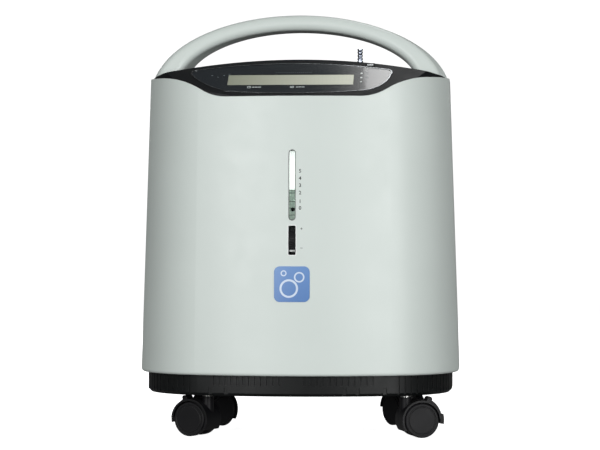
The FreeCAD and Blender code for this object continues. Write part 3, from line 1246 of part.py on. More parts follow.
def makeBoard():
    """Control board standing on two feet on the shelf, with its larger parts."""
    base = "shelfZ + shelfThick + 0.2"
    board = block("Pcb", ("boardX - 62", "boardX + 62"), ("boardY", "boardY + 1.6"),
                  (f"{base} + 4", f"{base} + 88"))
    feet = [block(f"BoardFoot{i}", (f"boardX + {x} - 5", f"boardX + {x} + 5"), ("boardY - 6", "boardY + 8"),
                  (base, f"{base} + 8")) for i, x in enumerate((-50, 50))]
    big = block("Transformer", ("boardX - 52", "boardX - 14"), ("boardY - 27", "boardY + 0.5"),
                (f"{base} + 20", f"{base} + 52"))
    sink = block("HeatSink", ("boardX + 12", "boardX + 50"), ("boardY - 17", "boardY + 0.5"),
                 (f"{base} + 44", f"{base} + 74"))
    cans = [rod(f"Capacitor{i}", "7", ("boardY - 24", "boardY + 0.5"), (f"boardX + {x}", f"{base} + 24"), "Y")
            for i, x in enumerate((2, 22, 42))]
    chips = [block(f"Chip{i}", (f"boardX + {x}", f"boardX + {x} + 12"), ("boardY - 3", "boardY + 0.5"),
                   (f"{base} + 62", f"{base} + 72")) for i, x in enumerate((-48, -30, -12))]
    node(fuse("ControlBoard", board, *feet, big, sink, *cans, *chips), "control_board")


def tubeAlong(name, points, radius):
    """Gas tube along straight runs joined by tangent bends; points are text triples."""
    spots = [V(*[number(part) for part in point]) for point in points]
    bend = number("tubeBend")
    edges, start = [], spots[0]
    for before, corner, after in zip(spots, spots[1:], spots[2:]):
        a, b = (before - corner).normalize(), (after - corner).normalize()
        turn = math.pi - a.getAngle(b)
        cutback = bend * math.tan(turn / 2)
        begin, finish = corner + a * cutback, corner + b * cutback
        inward = (a + b).normalize()
        middle = corner + inward * (bend / math.cos(turn / 2) - bend)
        edges += [Part.LineSegment(start, begin).toShape(), Part.Arc(begin, middle, finish).toShape()]
        start = finish
    edges.append(Part.LineSegment(start, spots[-1]).toShape())
    path = Part.Wire(edges)
    ring = Part.Wire(Part.Circle(spots[0], spots[1] - spots[0], radius).toShape())
    solid = path.makePipeShell([ring], True, False)
    wanted = math.pi * radius ** 2 * path.Length
    if abs(solid.Volume - wanted) > 0.01 * wanted:
        raise SystemExit(f"{name}: tube volume {solid.Volume:.0f}, wanted {wanted:.0f}")
    item = doc.addObject("Part::Feature", name)
    item.Shape = solid
    return item


def makeTubes():
    """Copper tubes from the heads to the valve block, and hoses on to the outlet."""
    radius = number("tubeOuter")
    left, right = "compX - motorHalf - headOff", "compX + motorHalf + headOff"
    portY, start = "compY + 14", "headZ + 4.2"
    level = f"{start} + tubeBend + 0.5"
    frontY, feedY, portZ = "compY - 80", "bedY + feedY", "bedHigh + 18"
    port = "bedX + 21.2"
    main = [(right, portY, start), (right, portY, level), (f"{right} + 26", portY, level),
            (f"{right} + 26", frontY, level), ("passX", frontY, level), ("passX", feedY, level),
            ("passX", feedY, portZ), (port, feedY, portZ)]
    branchX, branchY = f"{left} - 28", "(bedY + feedY + compY - 80) / 2"
    branch = [(left, portY, start), (left, portY, level), (branchX, portY, level), (branchX, branchY, level),
              ("passX + tubeOuter + 0.3", branchY, level)]
    node(group("CoolingCoil", tubeAlong("MainTube", main, radius), tubeAlong("BranchTube", branch, radius)),
         "cooling_coil")

    tankTop = "tankHigh + 6.2"
    product = [(port, "bedY", portZ), ("tankX", "bedY", portZ), ("tankX", "tankY", portZ),
               ("tankX", "tankY", tankTop)]
    valveBack = valveFront()
    level = "shelfZ + shelfThick + fanThick + 16"
    crossY = "fanY - fanSize / 2 + 6"
    supply = [("tankX + 18", "tankY", tankTop), ("tankX + 18", "tankY", level), ("tankX + 18", crossY, level),
              ("0", crossY, level), ("0", f"{valveBack} + valveDeep + 0.2", level)]
    top = "windowHigh + 10.2"
    oxygen = [("0", f"{valveBack} + 8", top), ("0", f"{valveBack} + 8", f"{top} + 26"),
              ("outletX", f"{valveBack} + 8", f"{top} + 26"), ("outletX", "outletY", f"{top} + 26"),
              ("outletX", "outletY", f"{crownAt('outletX')} - 14.2")]
    hoses = [tubeAlong(name, points, radius) for name, points in
             (("ProductHose", product), ("SupplyHose", supply), ("OxygenHose", oxygen))]
    node(group("GasHoses", *hoses), "gas_hoses")


makeFrontShell()
makeRearShell()
makeTray()
makeCasters()
makeRear()
makeShelf()
makeFan()
makeCompressor()
makeSieves()
makeBoard()
makeTubes()

# ---- checks and files --------------------------------------------------------------

doc.recompute()
failed = [item.Name for item in doc.Objects if "Invalid" in item.State or "Error" in item.State]
failed += [item.Label for item in nodes if item.Shape.isNull() or not item.Shape.isValid()]
if failed:
    raise SystemExit("failed: " + ", ".join(failed))
os.makedirs("parts", exist_ok=True)
for item in nodes:
    item.Shape.exportStep(f"parts/{item.Label}.step")
    print(item.Label, len(item.Shape.Solids), "solids", round(item.Shape.Volume / 1000, 1), "cm3")
print(len(nodes), "nodes")
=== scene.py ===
# Oxygen concentrator: finishes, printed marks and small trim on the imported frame. Metres throughout.
import math

import bpy
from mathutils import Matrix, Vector
from mathutils.bvhtree import BVHTree


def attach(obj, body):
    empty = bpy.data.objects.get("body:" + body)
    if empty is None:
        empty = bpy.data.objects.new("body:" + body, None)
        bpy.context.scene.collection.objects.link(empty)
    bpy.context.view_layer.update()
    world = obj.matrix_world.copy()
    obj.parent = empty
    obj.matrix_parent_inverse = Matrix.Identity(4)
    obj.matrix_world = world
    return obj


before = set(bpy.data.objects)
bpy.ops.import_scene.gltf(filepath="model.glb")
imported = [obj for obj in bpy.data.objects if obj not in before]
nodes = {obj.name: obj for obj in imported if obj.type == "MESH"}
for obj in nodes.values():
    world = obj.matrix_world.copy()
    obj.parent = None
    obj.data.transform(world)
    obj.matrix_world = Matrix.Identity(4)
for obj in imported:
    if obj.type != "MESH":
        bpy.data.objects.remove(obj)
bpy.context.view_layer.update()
print("frame loaded:", len(nodes), "nodes")


def printedCoat(shader, look):
    shader.inputs["Coat Weight"].default_value = look["coat"]
    shader.inputs["Coat Roughness"].default_value = look["coatRoughness"]


def startFinish(name, colour, roughness, metallic=0.0):
    finish = bpy.data.materials.new(name)
    finish.use_nodes = True
    shader = finish.node_tree.nodes["Principled BSDF"]
    for socket, value in (("Base Color", (*colour, 1)), ("Roughness", roughness), ("Metallic", metallic)):
        shader.inputs[socket].default_value = value
    return finish, finish.node_tree, shader


def place(tree, stretch=(1, 1, 1)):
    coords = tree.nodes.new("ShaderNodeTexCoord")
    mapping = tree.nodes.new("ShaderNodeMapping")
    mapping.inputs["Scale"].default_value = stretch
    tree.links.new(coords.outputs["Object"], mapping.inputs["Vector"])
    return mapping.outputs["Vector"]


def noise(tree, scale, detail=2.0, stretch=(1, 1, 1)):
    texture = tree.nodes.new("ShaderNodeTexNoise")
    texture.inputs["Scale"].default_value = scale
    texture.inputs["Detail"].default_value = detail
    tree.links.new(place(tree, stretch), texture.inputs["Vector"])
    return texture.outputs["Fac"]


def spread(tree, value, fromLow, fromHigh, toLow=0.0, toHigh=1.0):
    ranged = tree.nodes.new("ShaderNodeMapRange")
    for socket, number in zip(("From Min", "From Max", "To Min", "To Max"),
                              (fromLow, fromHigh, toLow, toHigh)):
        ranged.inputs[socket].default_value = number
    tree.links.new(value, ranged.inputs["Value"])
    return ranged.outputs["Result"]


def combine(tree, operation, first, second):
    mathNode = tree.nodes.new("ShaderNodeMath")
    mathNode.operation = operation
    for socket, item in zip(mathNode.inputs, (first, second)):
        if isinstance(item, (int, float)):
            socket.default_value = item
        else:
            tree.links.new(item, socket)
    return mathNode.outputs[0]


def tinted(tree, factor, first, second):
    blend = tree.nodes.new("ShaderNodeMix")
    blend.data_type = "RGBA"
    tree.links.new(factor, blend.inputs["Factor"])
    for socket, colour in zip((blend.inputs[6], blend.inputs[7]), (first, second)):
        if isinstance(colour, tuple):
            socket.default_value = (*colour, 1)
        else:
            tree.links.new(colour, socket)
    return blend.outputs[2]


def roundedEdge(tree, radius):
    edge = tree.nodes.new("ShaderNodeBevel")
    edge.samples = 4
    edge.inputs["Radius"].default_value = radius
    return edge.outputs["Normal"]


def edgeMask(tree, softened, reach=0.12):
    # 1 where a sharp edge turns, 0 on flat faces
    geometry = tree.nodes.new("ShaderNodeNewGeometry")
    dot = tree.nodes.new("ShaderNodeVectorMath")
    dot.operation = "DOT_PRODUCT"
    tree.links.new(softened, dot.inputs[0])
    tree.links.new(geometry.outputs["Normal"], dot.inputs[1])
    return spread(tree, dot.outputs["Value"], 1.0 - reach / 8, 1.0 - reach)


def bumped(tree, shader, height, strength, distance, softened=None):
    bump = tree.nodes.new("ShaderNodeBump")
    bump.inputs["Strength"].default_value = strength
    bump.inputs["Distance"].default_value = distance
    tree.links.new(height, bump.inputs["Height"])
    if softened is not None:
        tree.links.new(softened, bump.inputs["Normal"])
    tree.links.new(bump.outputs["Normal"], shader.inputs["Normal"])


def axisValue(tree, axis):
    split = tree.nodes.new("ShaderNodeSeparateXYZ")
    tree.links.new(place(tree), split.inputs[0])
    return split.outputs[axis]


mouldedMarks = {"mottle": 11, "sheen": 60, "sheenSwing": 0.05, "grain": 1500, "grainHeight": 0.0001,
                "specks": 320, "level": 0.75, "dustColour": (0.3, 0.3, 0.29), "coatRoughness": 0.15}


def moulded(name, look):
    # injection-moulded plastic: two near shades, spark-eroded grain, edges lightened partly as wear and
    # partly as painted highlight, dust on level faces
    finish, tree, shader = startFinish(name, look["colour"], look["roughness"])
    shader.inputs["Specular IOR Level"].default_value = look.get("specular", 0.5)
    shader.inputs["Coat Weight"].default_value = look.get("coat", 0.0)
    shader.inputs["Coat Roughness"].default_value = mouldedMarks["coatRoughness"]
    softened = roundedEdge(tree, look.get("edge", 0.0006))
    mottle = spread(tree, noise(tree, mouldedMarks["mottle"], 4), 0.3, 0.7)
    colour = tinted(tree, mottle, look["colour"], look["shade"])
    # edges lightened towards the worn colour: partly wear, partly a painted highlight where light catches
    # the rim
    colour = tinted(tree, combine(tree, "MULTIPLY", edgeMask(tree, softened), look.get("edgeWearAndHighlightAmount", 0.3)),
                    colour, look["edgeWearAndHighlight"])
    if "dust" in look:
        facing = tree.nodes.new("ShaderNodeNewGeometry")
        split = tree.nodes.new("ShaderNodeSeparateXYZ")
        tree.links.new(facing.outputs["Normal"], split.inputs[0])
        level = spread(tree, split.outputs["Z"], mouldedMarks["level"], 1.0, 0, look["dust"])
        specks = spread(tree, noise(tree, mouldedMarks["specks"], 5), 0.45, 0.75)
        colour = tinted(tree, combine(tree, "MULTIPLY", level, specks), colour, mouldedMarks["dustColour"])
    tree.links.new(colour, shader.inputs["Base Color"])
    swing = mouldedMarks["sheenSwing"]
    rough = spread(tree, noise(tree, mouldedMarks["sheen"], 3), 0.25, 0.75, look["roughness"] - swing,
                   look["roughness"] + swing)
    tree.links.new(rough, shader.inputs["Roughness"])
    bumped(tree, shader, noise(tree, mouldedMarks["grain"], 2), look.get("bump", 0.1),
           mouldedMarks["grainHeight"], softened)
    return finish


def metalFinish(name, look):
    # bright or cast metal with fine handling marks and, if stretched, turning lines
    finish, tree, shader = startFinish(name, look["colour"], look["roughness"], 1.0)
    softened = roundedEdge(tree, look.get("edge", 0.0003))
    stains = spread(tree, noise(tree, 45, 4), 0.35, 0.7)
    tree.links.new(tinted(tree, stains, look["colour"], look["shade"]), shader.inputs["Base Color"])
    lines = noise(tree, look.get("grain", 900), 3, look.get("stretch", (1, 1, 1)))
    tree.links.new(spread(tree, lines, 0.3, 0.7, look["roughness"] * 0.7, look["roughness"] * 1.35),
                   shader.inputs["Roughness"])
    bumped(tree, shader, lines, look.get("bump", 0.06), 0.0001, softened)
    return finish


def lensFinish(look):
    # smoked acrylic, darker towards the left and paler to the right as painted reflection, with hairline
    # polish marks
    finish, tree, shader = startFinish("smokedLens", look["dark"], look["roughness"])
    printedCoat(shader, look)
    # painted reflection: colour runs from dark on the left to pale on the right along X
    paintedReflectionFade = spread(tree, axisValue(tree, "X"), look["fadeFrom"], look["fadeTo"])
    colour = tinted(tree, paintedReflectionFade, look["dark"], look["pale"])
    drift = spread(tree, noise(tree, 18, 3), 0.3, 0.7, 0, 0.35)
    tree.links.new(tinted(tree, drift, colour, look["tint"]), shader.inputs["Base Color"])
    hairlines = noise(tree, look["hairlines"], 3, look["stretch"])
    tree.links.new(spread(tree, hairlines, 0.3, 0.7, look["roughness"] * 0.75, look["roughness"] * 1.2),
                   shader.inputs["Roughness"])
    bumped(tree, shader, hairlines, look["bump"], look["bumpHeight"], roundedEdge(tree, look["edge"]))
    return finish


def displayFinish(look):
    # unlit reflective display: greenish grey, paler towards the right as painted reflection, with a faint
    # grid of cells
    finish, tree, shader = startFinish("displayGlass", look["dark"], look["roughness"])
    printedCoat(shader, look)
    # painted reflection: colour runs from dark on the left to pale on the right along X
    paintedReflectionFade = spread(tree, axisValue(tree, "X"), look["fadeFrom"], look["fadeTo"])
    colour = tinted(tree, paintedReflectionFade, look["dark"], look["pale"])
    cells = tree.nodes.new("ShaderNodeTexBrick")
    cells.offset = 0
    cells.inputs["Scale"].default_value = look["cells"]
    cells.inputs["Mortar Size"].default_value = look["cellGap"]
    cells.inputs["Brick Width"].default_value = look["cellWide"]
    cells.inputs["Row Height"].default_value = look["cellTall"]
    tree.links.new(place(tree), cells.inputs["Vector"])
    faint = combine(tree, "MULTIPLY", cells.outputs["Fac"], look["gridShow"])
    tree.links.new(tinted(tree, faint, colour, look["grid"]), shader.inputs["Base Color"])
    bumped(tree, shader, noise(tree, look["grain"], 1), look["bump"], look["bumpHeight"])
    return finish


def clearFinish(look):
    roughness = look["roughness"]
    finish, tree, shader = startFinish("clearAcrylic", look["colour"], roughness)
    shader.inputs["Transmission Weight"].default_value = 1.0
    shader.inputs["IOR"].default_value = look["index"]  # low, so that the thin wall bends light little
    haze = spread(tree, noise(tree, look["haze"], 3), 0.3, 0.7, roughness * 0.6, roughness * 1.6)
    tree.links.new(haze, shader.inputs["Roughness"])
    return finish


def badgeFinish(look):
    # printed film: blue with three rising bubbles and a pale border
    finish, tree, shader = startFinish("badgeFilm", look["blue"], look["roughness"])
    shader.inputs["Coat Weight"].default_value = look["coat"]
    where = place(tree)
    rings = None
    for x, z, radius, width in look["bubbles"]:
        gap = tree.nodes.new("ShaderNodeVectorMath")
        gap.operation = "DISTANCE"
        flat = tree.nodes.new("ShaderNodeVectorMath")
        flat.operation = "MULTIPLY"
        flat.inputs[1].default_value = (1, 0, 1)
        tree.links.new(where, flat.inputs[0])
        tree.links.new(flat.outputs[0], gap.inputs[0])
        gap.inputs[1].default_value = (x, 0, z)
        off = combine(tree, "ABSOLUTE", combine(tree, "SUBTRACT", gap.outputs["Value"], radius), 0)
        ring = spread(tree, off, width, width - look["ringFade"])
        rings = ring if rings is None else combine(tree, "MAXIMUM", rings, ring)
    shade = tinted(tree, spread(tree, axisValue(tree, "Z"), look["low"], look["high"]), look["blue"],
                   look["light"])
    tree.links.new(tinted(tree, rings, shade, look["bubble"]), shader.inputs["Base Color"])
    bumped(tree, shader, noise(tree, look["grain"], 1), look["bump"], look["bumpHeight"],
           roundedEdge(tree, look["edge"]))
    return finish


def foamFinish(look):
    finish, tree, shader = startFinish("filterFoam", look["colour"], look["roughness"])
    pores = tree.nodes.new("ShaderNodeTexVoronoi")
    pores.inputs["Scale"].default_value = look["pores"]
    tree.links.new(place(tree), pores.inputs["Vector"])
    tree.links.new(tinted(tree, pores.outputs["Distance"], look["deep"], look["colour"]),
                   shader.inputs["Base Color"])
    bumped(tree, shader, pores.outputs["Distance"], look["bump"], look["bumpHeight"])
    return finish


def boardFinish(look):
    # green solder mask with the tracks showing through
    finish, tree, shader = startFinish("boardMask", look["mask"], look["roughness"])
    tracks = tree.nodes.new("ShaderNodeTexVoronoi")
    tracks.distance = "CHEBYCHEV"
    tracks.inputs["Scale"].default_value = look["tracks"]
    tree.links.new(place(tree), tracks.inputs["Vector"])
    lines = spread(tree, tracks.outputs["Distance"], 0.42, 0.5)
    tree.links.new(tinted(tree, lines, look["mask"], look["track"]), shader.inputs["Base Color"])
    bumped(tree, shader, lines, look["bump"], look["bumpHeight"], roundedEdge(tree, look["edge"]))
    return finish


def linerFinish(look):
    # card behind the flow tube: white above, grey-green below
    finish, tree, shader = startFinish("tubeLiner", look["white"], look["roughness"])
    height = axisValue(tree, "Z")
    step = spread(tree, height, look["split"] - look["blur"], look["split"] + look["blur"])
    mottle = spread(tree, noise(tree, look["mottle"], 3), 0.35, 0.65)
    mottled = tinted(tree, mottle, look["green"], look["greenShade"])
    shown = tinted(tree, step, mottled, look["white"])
    tree.links.new(shown, shader.inputs["Base Color"])
    # painted light: the card glows in place of light reaching it through the casing and tube
    tree.links.new(shown, shader.inputs["Emission Color"])  # glows, as if lit through the casing
    shader.inputs["Emission Strength"].default_value = look["glow"]
    bumped(tree, shader, noise(tree, look["grain"], 2), look["bump"], look["bumpHeight"])
    return finish


# the worn colour and wear amount lighten the edges: partly wear, partly painted highlight
plastics = {
    "casingPlastic": {"colour": (0.63, 0.69, 0.66), "shade": (0.61, 0.67, 0.64), "edgeWearAndHighlight": (0.9, 0.93, 0.91),
                      "roughness": 0.42, "specular": 0.4, "bump": 0.09, "edge": 0.0009, "edgeWearAndHighlightAmount": 0.5},
    "coverBlack": {"colour": (0.006, 0.007, 0.008), "shade": (0.009, 0.01, 0.011),
                   "edgeWearAndHighlight": (0.06, 0.065, 0.07), "roughness": 0.38, "specular": 0.12, "bump": 0.07,
                   "edge": 0.0008, "dust": 0.03},
    "baseBlack": {"colour": (0.004, 0.005, 0.005), "shade": (0.006, 0.007, 0.007),
                  "edgeWearAndHighlight": (0.07, 0.073, 0.075), "roughness": 0.42, "specular": 0.22, "bump": 0.1,
                  "edge": 0.0004, "dust": 0.05},
    "casterBlack": {"colour": (0.004, 0.004, 0.005), "shade": (0.007, 0.007, 0.008),
                    "edgeWearAndHighlight": (0.05, 0.05, 0.05), "roughness": 0.42, "specular": 0.18, "bump": 0.08,
                    "edge": 0.0007, "dust": 0.1, "coat": 0.04},
    "wheelBlack": {"colour": (0.006, 0.006, 0.007), "shade": (0.011, 0.011, 0.012),
                   "edgeWearAndHighlight": (0.06, 0.06, 0.058), "roughness": 0.46, "specular": 0.16, "bump": 0.12,
                   "edge": 0.0006, "edgeWearAndHighlightAmount": 0.4},
    "wheelRimBlack": {"colour": (0.005, 0.005, 0.006), "shade": (0.008, 0.008, 0.009),
                      "edgeWearAndHighlight": (0.05, 0.05, 0.05), "roughness": 0.36, "specular": 0.35, "bump": 0.05,
                      "edge": 0.0003},
    "bezelGrey": {"colour": (0.16, 0.18, 0.17), "shade": (0.2, 0.22, 0.21), "edgeWearAndHighlight": (0.4, 0.42, 0.41),
                  "roughness": 0.35, "edge": 0.0002},
    "rockerPale": {"colour": (0.52, 0.55, 0.56), "shade": (0.46, 0.49, 0.5), "edgeWearAndHighlight": (0.8, 0.8, 0.8),
                   "roughness": 0.2, "coat": 0.4, "edge": 0.0003, "bump": 0.03},
    "innerPlastic": {"colour": (0.72, 0.73, 0.7), "shade": (0.66, 0.67, 0.64), "edgeWearAndHighlight": (0.85, 0.85, 0.83),
                     "roughness": 0.5},
    "fanBlack": {"colour": (0.012, 0.012, 0.013), "shade": (0.02, 0.02, 0.021), "edgeWearAndHighlight": (0.1, 0.1, 0.1),
                 "roughness": 0.4, "edge": 0.0004},
    "mountRubber": {"colour": (0.016, 0.016, 0.016), "shade": (0.028, 0.028, 0.027),
                    "edgeWearAndHighlight": (0.08, 0.08, 0.08), "roughness": 0.8, "bump": 0.25, "specular": 0.25},
    "hoseSilicone": {"colour": (0.6, 0.6, 0.56), "shade": (0.5, 0.5, 0.46), "edgeWearAndHighlight": (0.75, 0.75, 0.7),
                     "roughness": 0.35, "coat": 0.2},
    "ledLens": {"colour": (0.72, 0.78, 0.75), "shade": (0.62, 0.68, 0.65), "edgeWearAndHighlight": (0.9, 0.9, 0.9),
                "roughness": 0.12, "coat": 0.6, "edge": 0.0002, "bump": 0.02},
    "inkGrey": {"colour": (0.025, 0.031, 0.029), "shade": (0.035, 0.042, 0.04), "edgeWearAndHighlight": (0.2, 0.22, 0.21),
                "roughness": 0.5, "edge": 5e-05, "bump": 0.04},
    "inkWhite": {"colour": (0.62, 0.68, 0.68), "shade": (0.52, 0.58, 0.58), "edgeWearAndHighlight": (0.8, 0.8, 0.8),
                 "roughness": 0.5, "edge": 5e-05, "bump": 0.04},
    "inkFaint": {"colour": (0.2, 0.24, 0.25), "shade": (0.16, 0.2, 0.21), "edgeWearAndHighlight": (0.15, 0.15, 0.15),
                 "roughness": 0.5, "edge": 5e-05, "bump": 0.04},
    "indexWhite": {"colour": (0.85, 0.87, 0.86), "shade": (0.8, 0.82, 0.81), "edgeWearAndHighlight": (0.9, 0.9, 0.9),
                   "roughness": 0.45, "edge": 0.0001, "bump": 0.04},
}
metals = {
    "outletChrome": {"colour": (0.40, 0.43, 0.50), "shade": (0.30, 0.33, 0.40), "roughness": 0.12,
                     "bump": 0.02, "edge": 0.0002},
    "trimSilver": {"colour": (0.30, 0.31, 0.32), "shade": (0.22, 0.23, 0.24), "roughness": 0.2, "bump": 0.02,
                   "edge": 0.0004},
    "zincSteel": {"colour": (0.56, 0.56, 0.55), "shade": (0.46, 0.46, 0.44), "roughness": 0.3,
                  "stretch": (1, 1, 8)},
    "castAlloy": {"colour": (0.6, 0.61, 0.62), "shade": (0.5, 0.51, 0.52), "roughness": 0.5, "grain": 700,
                  "bump": 0.35},
    "drawnCopper": {"colour": (0.72, 0.36, 0.22), "shade": (0.55, 0.26, 0.16), "roughness": 0.28},
}
# lens and display turn paler towards the right as painted reflection, set by dark, pale, fadeFrom and fadeTo
lensLook = {"dark": (0.010, 0.014, 0.018), "pale": (0.09, 0.093, 0.09), "tint": (0.016, 0.022, 0.026),
            "fadeFrom": 0.045, "fadeTo": 0.112, "roughness": 0.18, "coat": 0.6, "coatRoughness": 0.04,
            "hairlines": 500, "stretch": (0.05, 1, 1), "bump": 0.02, "bumpHeight": 0.00005, "edge": 0.0004}
displayLook = {"dark": (0.31, 0.33, 0.25), "pale": (0.70, 0.72, 0.60), "fadeFrom": -0.08, "fadeTo": 0.07,
               "cells": 130, "cellGap": 0.06, "cellWide": 0.6, "cellTall": 0.8, "grid": (0.2, 0.22, 0.18),
               "gridShow": 0.05, "roughness": 0.28, "coat": 0.5, "coatRoughness": 0.05, "grain": 2200,
               "bump": 0.02, "bumpHeight": 0.00005}
badgeLook = {"blue": (0.105, 0.225, 0.50), "light": (0.15, 0.29, 0.58), "bubble": (0.62, 0.71, 0.84),
             "low": 0.16, "high": 0.2, "ringFade": 0.0003, "roughness": 0.3, "coat": 0.4, "grain": 1800,
             "bump": 0.04, "bumpHeight": 0.00005, "edge": 0.0003,
             "bubbles": ((-0.0035, 0.174, 0.0095, 0.0013), (0.0085, 0.187, 0.0052, 0.001),
                         (-0.0095, 0.1915, 0.0028, 0.0008))}
foamLook = {"colour": (0.05, 0.05, 0.052), "deep": (0.01, 0.01, 0.01), "pores": 700, "roughness": 0.95,
            "bump": 0.9, "bumpHeight": 0.0006}
boardLook = {"mask": (0.02, 0.13, 0.06), "track": (0.05, 0.22, 0.1), "tracks": 160, "roughness": 0.35,
             "bump": 0.2, "bumpHeight": 0.00005, "edge": 0.0003}
clearLook = {"colour": (0.93, 0.97, 0.95), "roughness": 0.03, "index": 1.2, "haze": 160}
linerLook = {"white": (0.93, 0.94, 0.93), "green": (0.20, 0.25, 0.22), "greenShade": (0.28, 0.33, 0.29),
             "split": 0.2880, "blur": 0.0003, "glow": 0.9, "roughness": 0.5, "mottle": 420, "grain": 1500,
             "bump": 0.05, "bumpHeight": 0.0001}

finishes = {name: moulded(name, look) for name, look in plastics.items()}
finishes.update({name: metalFinish(name, look) for name, look in metals.items()})
finishes.update({
    "smokedLens": lensFinish(lensLook),
    "displayGlass": displayFinish(displayLook),
    "badgeFilm": badgeFinish(badgeLook),
    "filterFoam": foamFinish(foamLook),
    "boardMask": boardFinish(boardLook),
    "tubeLiner": linerFinish(linerLook),
    "clearAcrylic": clearFinish(clearLook),
})
print("finishes made:", len(finishes))

# which finish each node of the frame wears
finishOf = {
    "casingPlastic": ["front_shell", "rear_shell", "handle_front", "handle_rear", "filter_grille"],
    "coverBlack": ["top_cover", "rocker_bezel", "flow_float"],
    "smokedLens": ["panel_lens"],
    "trimSilver": ["panel_trim_ring"],
    "displayGlass": ["lcd_module"],
    "ledLens": ["indicator_leds"],
    "rockerPale": ["power_rocker"],
    "outletChrome": ["outlet_fitting"],
    "clearAcrylic": ["flow_tube"],
    "bezelGrey": ["flow_window_frame"],
    "wheelRimBlack": ["flow_wheel", "breaker_button"],
    "badgeFilm": ["front_badge"],
    "baseBlack": ["base_tray", "power_inlet"],
    "filterFoam": ["intake_filter"],
    "zincSteel": ["case_screws", "caster_stems", "compressor_shaft"],
    "innerPlastic": ["shelf_plate", "flow_valve_body", "valve_block", "exhaust_muffler"],
    "fanBlack": ["fan_frame", "fan_rotor"],
    "castAlloy": ["compressor_body", "compressor_heads", "piston_left", "piston_right", "product_tank",
                  "sieve_bed_front", "sieve_bed_rear"],
    "mountRubber": ["compressor_mounts"],
    "drawnCopper": ["cooling_coil"],
    "boardMask": ["control_board"],
    "hoseSilicone": ["gas_hoses"],
}
finishOf["casterBlack"] = ["caster_fl_brake", "caster_fr_brake"]
finishOf["wheelBlack"] = []
for corner in ("fl", "fr", "rl", "rr"):
    finishOf["casterBlack"].append(f"caster_{corner}_hood")
    finishOf["zincSteel"].append(f"caster_{corner}_axle")
    finishOf["wheelBlack"] += [f"caster_{corner}_wheel_a", f"caster_{corner}_wheel_b"]

for finishName, wearers in finishOf.items():
    for wearer in wearers:
        piece = nodes[wearer]
        if not piece.material_slots:
            piece.data.materials.append(None)
        for materialSlot in piece.material_slots:
            materialSlot.link = "OBJECT"
            materialSlot.material = finishes[finishName]
dressed = {wearer for wearers in finishOf.values() for wearer in wearers}
bare = set(nodes) - dressed
print("nodes dressed, without a finish:", sorted(bare))


slope = {"lip": -0.131, "height": 0.392, "angle": math.radians(36.5), "above": 0.004}
slopeUp = Vector((0, math.cos(slope["angle"]), math.sin(slope["angle"])))
slopeOut = Vector((0, -math.sin(slope["angle"]), math.cos(slope["angle"])))


def onSlope(x, up, out):
    # x across the control face, up its slope from the lip, and out from it
    return Vector((x, slope["lip"], slope["height"])) + slopeUp * up + slopeOut * out


def meshPiece(name, points, faces, finish, body):
    mesh = bpy.data.meshes.new(name)
    mesh.from_pydata([tuple(p) for p in points], [], faces)
    mesh.update()
    piece = bpy.data.objects.new(name, mesh)
    bpy.context.scene.collection.objects.link(piece)
    mesh.materials.append(finishes[finish])
    for face in mesh.polygons:
        face.use_smooth = True
    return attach(piece, body)


def circlePoints(x, up, radius, steps):
    turns = [2 * math.pi * i / steps for i in range(steps)]
    return [(x + radius * math.cos(turn), up + radius * math.sin(turn)) for turn in turns]


def bandSides(count):
    # faces between two closed outlines of as many points, the second listed after the first
    return [(i, (i + 1) % count, count + (i + 1) % count, count + i) for i in range(count)]


def ringShape(x, up, radius, width, steps=24):
    return circlePoints(x, up, radius, steps) + circlePoints(x, up, radius - width, steps), bandSides(steps)


def discShape(x, up, radius, steps=14):
    return circlePoints(x, up, radius, steps), [tuple(range(steps))]


def barShape(x, up, long, tall, turn=0.0):
    c, s = math.cos(turn), math.sin(turn)
    corners = ((-long / 2, -tall / 2), (long / 2, -tall / 2), (long / 2, tall / 2), (-long / 2, tall / 2))
    return [(x + a * c - b * s, up + a * s + b * c) for a, b in corners], [(0, 1, 2, 3)]


def gather(shapes):
    points, faces = [], []
    for shape, sides in shapes:
        faces += [tuple(i + len(points) for i in side) for side in sides]
        points += shape
    return points, faces


def letterShape(text, size, bold=0.02):
    # a number as a flat outline filled with faces
    curve = bpy.data.curves.new("mark", "FONT")
    curve.body, curve.size = text, size
    curve.align_x, curve.align_y = "CENTER", "CENTER"
    curve.offset = size * bold
    maker = bpy.data.objects.new("mark", curve)
    bpy.context.scene.collection.objects.link(maker)
    bpy.context.view_layer.update()
    mesh = bpy.data.meshes.new_from_object(maker.evaluated_get(bpy.context.evaluated_depsgraph_get()))
    shape = [(v.co.x, v.co.y) for v in mesh.vertices], [tuple(p.vertices) for p in mesh.polygons]
    bpy.data.objects.remove(maker)
    return shape


printing = {"lift": 0.00006, "back": 0.02, "reach": 0.05}


def printOn(name, shapes, finish, node, toWorld, inward, body="casing"):
    # the flat shapes are laid on the node's own surface, a hair above it
    surface = BVHTree.FromObject(nodes[node], bpy.context.evaluated_depsgraph_get())
    points, faces = gather(shapes)
    laid = []
    for a, b in points:
        start = toWorld(a, b)
        hit = surface.ray_cast(start - inward * printing["back"], inward, printing["reach"])[0]
        laid.append((hit if hit is not None else start) - inward * printing["lift"])
    return meshPiece(name, laid, faces, finish, body)


frontMarks = {"numbers": (("0", 0.2664), ("1", 0.2742), ("2", 0.2840), ("3", 0.2925), ("4", 0.3007),
                          ("5", 0.3091)),
              "numberX": 0.0092, "numberSize": 0.0058, "signX": 0.0109, "plus": 0.2428, "minus": 0.2205,
              "signLong": 0.0026, "signLine": 0.00055, "startY": -0.15}
backward = Vector((0, 1, 0))


def frontPlace(a, b):
    return Vector((a, frontMarks["startY"], b))


